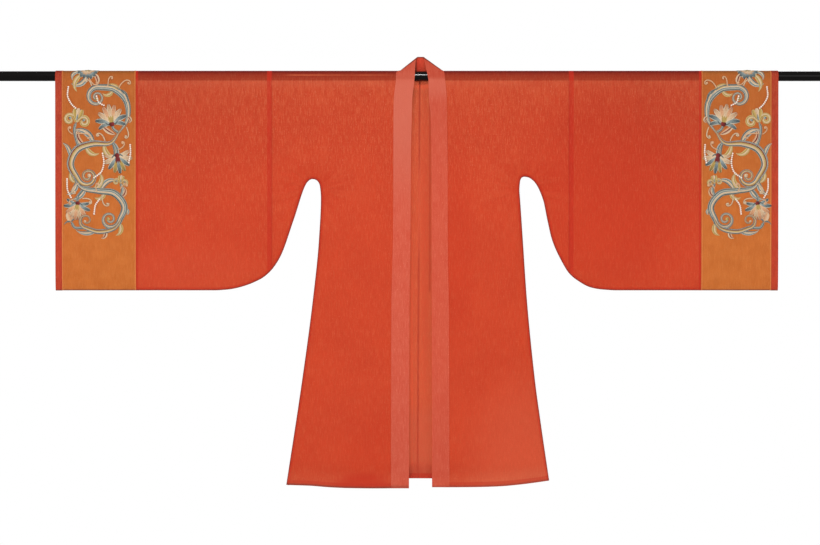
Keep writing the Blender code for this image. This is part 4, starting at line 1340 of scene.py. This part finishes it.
def cuffDesign():
    work = Needlework()
    blue, slate, gold, cream, peach, red = threads
    fullBand = [(-1.0, -0.50, slate), (-0.50, 0.04, blue), (0.04, 0.46, cream), (0.46, 1.0, slate)]
    warmBand = [(-1.0, -0.52, slate), (-0.52, -0.12, cream), (-0.12, 0.34, gold), (0.34, 0.62, red),
                (0.62, 1.0, blue)]
    leafBand = [(-1.0, -0.15, blue), (-0.15, 0.45, cream), (0.45, 1.0, slate)]
    goldLeaf = [(-1.0, -0.10, gold), (-0.10, 0.42, cream), (0.42, 1.0, gold)]
    redLeaf = [(-1.0, -0.20, cream), (-0.20, 0.35, red), (0.35, 1.0, peach)]
    # leaves that lie under the scrolls
    for row in (
            ((-84, 112), 268, 62, 110, 17, leafBand), ((-70, 78), 305, 64, 105, 14, goldLeaf),
            ((-86, 150), 160, 26, -150, 10, redLeaf), ((-40, 226), 128, 72, -120, 17, leafBand),
            ((-16, 232), 92, 70, 130, 16, goldLeaf), ((14, 232), -66, 84, 95, 19, leafBand),
            ((40, 238), -30, 66, -120, 15, redLeaf), ((86, 276), -88, 56, 70, 13, leafBand),
            ((84, 316), 78, 46, 110, 13, goldLeaf), ((66, 344), 84, 58, -80, 16, leafBand),
            ((20, 374), 205, 70, 120, 17, goldLeaf), ((-6, 376), 248, 70, -110, 16, leafBand),
            ((-66, 396), 214, 40, 110, 13, redLeaf), ((-80, 430), 150, 24, -120, 10, leafBand),
            ((-64, 474), 112, 46, -110, 14, goldLeaf), ((6, 498), 20, 66, -60, 13, leafBand),
            ((-20, 498), 100, 30, -110, 12, redLeaf), ((40, 366), 66, 60, -70, 16, leafBand),
            # and inside their bends
            ((-44, 70), 60, 40, -120, 12, goldLeaf), ((40, 238), 110, 56, 110, 15, goldLeaf),
            ((-20, 380), 70, 44, -120, 13, goldLeaf), ((-50, 204), -20, 60, -60, 14, redLeaf)):
        work.plume(*row)
    # the scrolls that wind down the band
    work.scroll([(-62, 200), (-88, 156), (-84, 102), (-48, 66), (0, 60)], 560, 33, 5, 20, fullBand, gold)
    work.scroll([(-66, 190), (-36, 230), (18, 232), (66, 250), (86, 296), (62, 344)], 560, 32, 5, 22,
                warmBand, cream, lift=0.3)
    work.scroll([(82, 322), (52, 366), (2, 376), (-48, 384), (-78, 424), (-62, 470)], -540, 31, 5, 20,
                fullBand, gold, lift=0.5)
    work.scroll([(-76, 446), (-50, 488), (0, 500), (42, 488)], -420, 24, 5, 14, warmBand, cream, lift=0.7)
    # the rosette on the fold, and leaves below it
    for row in (((34, 22), 70, 66, -110, 16, leafBand), ((50, 20), 36, 64, 100, 15, goldLeaf),
                ((14, 18), 130, 44, -90, 13, redLeaf), ((56, 10), 10, 44, 110, 12, leafBand)):
        work.plume(*row)
    work.flower((34, 0), [(9, 10, 25, 16, blue, 0.0), (8, 5, 18, 12, cream, 0.5),
                          (6, 1, 11, 8, gold, 1.0)], 8)
    work.dot((34, 0), 6, red, lift=1.6)
    # blossoms and cloud heads, each on its stalk
    for points in ([(-60, 198), (-46, 188), (-40, 172)], [(-44, 230), (-54, 250), (-56, 268)],
                   [(60, 246), (70, 214), (74, 188), (68, 166)], [(-66, 394), (-72, 372), (-66, 352)],
                   [(46, 370), (64, 394), (64, 414)], [(44, 488), (72, 488), (84, 470)]):
        work.bands(smoothPath(points, 2.4), 8.0, "stem", [(-1, 0, slate), (0, 1, blue)], lift=0.2)
    work.lotus((-40, 172), -80, 54, blue, cream, peach, gold)
    work.cloudHead((68, 168), -100, 34, gold, cream, blue)
    work.lotus((-56, 268), 100, 50, cream, blue, gold, red)
    work.lotus((64, 414), 80, 46, blue, peach, cream, gold)
    work.cloudHead((-66, 354), -98, 20, gold, cream, blue)
    work.bud((84, 470), -70, 34, peach, cream, slate)
    # tendrils with curled ends
    for row in (
            ((-60, 66), 246, 66, -60, -300, 3.6, peach), ((78, 204), -30, 40, -60, -310, 3.4, peach),
            ((72, 200), 170, 60, 60, -300, 3.6, peach), ((-84, 180), 110, 50, 0, -320, 3.4, cream),
            ((-56, 252), 200, 50, 50, 320, 3.6, peach), ((-28, 60), 262, 46, 30, -310, 3.4, peach),
            ((20, 58), 290, 40, 20, 310, 3.4, cream),
            ((60, 352), 30, 56, 50, 320, 3.6, cream), ((-66, 372), 250, 40, -60, -310, 3.4, peach),
            ((-10, 386), 88, 60, 40, 320, 3.4, cream), ((74, 400), 10, 36, 80, 310, 3.6, peach),
            ((52, 400), 190, 50, -60, -310, 3.6, cream), ((-20, 226), -76, 54, 60, 320, 3.6, cream),
            ((30, 30), 112, 54, 50, 320, 3.4, peach), ((4, 378), -60, 40, -60, -320, 3.4, peach)):
        work.tendril(*row)
    # strings of pearls
    for points in ([(92, 60), (94, 88), (82, 112), (70, 124)], [(-96, 236), (-97, 262), (-92, 290)],
                   [(-12, 262), (-16, 290), (-8, 318), (14, 336)], [(96, 340), (95, 372), (84, 396)],
                   [(-2, 402), (10, 420), (14, 446)], [(6, 88), (0, 106), (-16, 116)]):
        work.pearls(points, 2.8, 6.0)
    return work


def layOnCuff(work, label, half, face):
    middle = (half["binding"] + half["cuff"]) / 2
    cloth = 0.5 * clothThickness["cuff"]
    points, quads, flat, shades, colours, count = [], [], [], [], [], 0
    for ring, raised, place, shade, thread in work.rings:
        rows, around = raised.shape
        index = count + np.arange(rows * around).reshape(rows, around)
        nextOne = np.roll(index, -1, 1)
        made = np.stack([index[:-1], index[1:], nextOne[1:], nextOne[:-1]], -1).reshape(-1, 4).tolist()
        made += [index[0].tolist(), index[-1][::-1].tolist()]
        if half["side"] * face > 0:
            made = [quad[::-1] for quad in made]
        quads += made
        colours += [thread] * len(made)
        x = middle + ring[..., 0] / 1000
        s = face * ring[..., 1] / 1000
        points.append((x, s, cloth + raised / 1000))
        flat.append(place.reshape(-1, 2))
        shades.append(shade.ravel())
        count += rows * around
    x, s, lift = (np.concatenate([entry[n].ravel() for entry in points]) for n in range(3))
    mesh = newMesh(f"embroidery{label}", onCloth(half, x, s, lift), quads, np.concatenate(flat))
    mesh.attributes.new("shade", "FLOAT", "POINT").data.foreach_set("value", np.concatenate(shades))
    smooth(mesh, *silkFinishes)
    mesh.polygons.foreach_set("material_index", colours)
    return newPiece(mesh)


def pearlPiece(work, label, half, face):
    bpy.ops.object.select_all(action="DESELECT")
    bpy.ops.mesh.primitive_ico_sphere_add(subdivisions=2, radius=1.0)
    ball = bpy.context.object
    corners = np.array([corner.co for corner in ball.data.vertices])
    sides = np.array([list(side.vertices) for side in ball.data.polygons])
    bpy.data.objects.remove(ball)
    middle = (half["binding"] + half["cuff"]) / 2
    across, down, radius = np.array(work.pearlPlaces).T
    centres = onCloth(half, middle + across / 1000, face * down / 1000,
                      0.5 * clothThickness["cuff"] + radius / 1000 * 0.75)
    points = (centres[:, None] + corners[None] * radius[:, None, None] / 1000).reshape(-1, 3)
    faces = (sides[None] + len(corners) * np.arange(len(centres))[:, None, None]).reshape(-1, 3)
    mesh = newMesh(f"pearls{label}", points, faces)
    smooth(mesh, pearlCoat, sharp=False)
    return newPiece(mesh)


makeSewing()
silkFinishes = [silkFinish(name) for name in threads]
pearlCoat = pearlFinish()
design = cuffDesign()
for label, half in halves.items():
    for sideName, face in (("Front", -1), ("Back", 1)):
        stitched = layOnCuff(design, label + sideName, half, face)
        trims["cuff" + label] += [stitched, pearlPiece(design, label + sideName, half, face)]
        print(f"{stitched.name}: {len(stitched.data.polygons)} faces")

for name, (piece, size) in cloth.items():
    under = [cloth["bodyLeft"][0], cloth["bodyRight"][0]] if name == "collar" else []
    declare(piece, size)


# Floor, light and camera

studio = {
    "floorDrop": 2.0, "floorRadius": 3.6, "floorColour": (0.86, 0.86, 0.87),
    "sky": 0.875, "backdrop": 1.0, "shine": 0.09,  # the world's light, what the camera and what gloss sees
    "camera": (-0.0317, -7.0, -0.599), "lens": 36 * 7 / (820 * 0.003051),
}
# lamps: place, width and height, power, and where each aims
lamps = {
    "key": ((-0.78, -4.6, 2.42), (1.7, 1.4), 116.0, (0, 0, -0.45)),
    "fill": ((2.6, -4.2, 0.2), (2.0, 2.4), 6.0, (0, 0, -0.5)),
    "glint": ((0.015, -4.6, 2.42), (0.16, 0.9), 24.0, (0, 0, 0)),
    "back": ((1.2, 4.8, 1.8), (2.0, 1.8), 45.0, (0, 0, -0.5)),
}


def makeStudio():
    bpy.ops.mesh.primitive_circle_add(vertices=96, radius=studio["floorRadius"], fill_type="NGON",
                                      location=(0, 0, -studio["floorDrop"]))
    floor = bpy.context.object
    floor.name = "floor"
    plain = Finish("pale floor")
    floor.data.materials.append(plain.finish(plain.principled(studio["floorColour"], roughness=0.8)))
    floor.visible_glossy = False  # keeps the underside of the rod black
    sky = Finish("studio", bpy.data.worlds)
    seen, glossy = (sky.node("ShaderNodeLightPath", {}, ray) for ray in ("Is Camera Ray", "Is Glossy Ray"))
    light = sky.node("ShaderNodeMix", {0: glossy, 2: studio["sky"], 3: studio["shine"]})
    light = sky.node("ShaderNodeMix", {0: seen, 2: light, 3: studio["backdrop"]})
    light = sky.node("ShaderNodeBackground", {"Color": (1.0, 1.0, 1.0, 1.0), "Strength": light})
    scene.world = sky.finish(light, "ShaderNodeOutputWorld")
    for name, (place, size, power, aim) in lamps.items():
        data = bpy.data.lights.new(name, "AREA")
        data.shape, data.size, data.size_y, data.energy = "RECTANGLE", *size, power
        lamp = bpy.data.objects.new(name, data)
        lamp.location = place
        lamp.rotation_euler = (Vector(aim) - Vector(place)).to_track_quat("-Z", "Y").to_euler()
        lamp.visible_camera = False
        scene.collection.objects.link(lamp)
    data = bpy.data.cameras.new("camera")
    data.sensor_width, data.lens = 36, studio["lens"]
    camera = bpy.data.objects.new("camera", data)
    camera.location = studio["camera"]
    camera.rotation_euler = (math.radians(90), 0, 0)
    scene.collection.objects.link(camera)
    scene.camera = camera
    scene.view_settings.view_transform = "Standard"
    print("studio ready")


makeStudio()
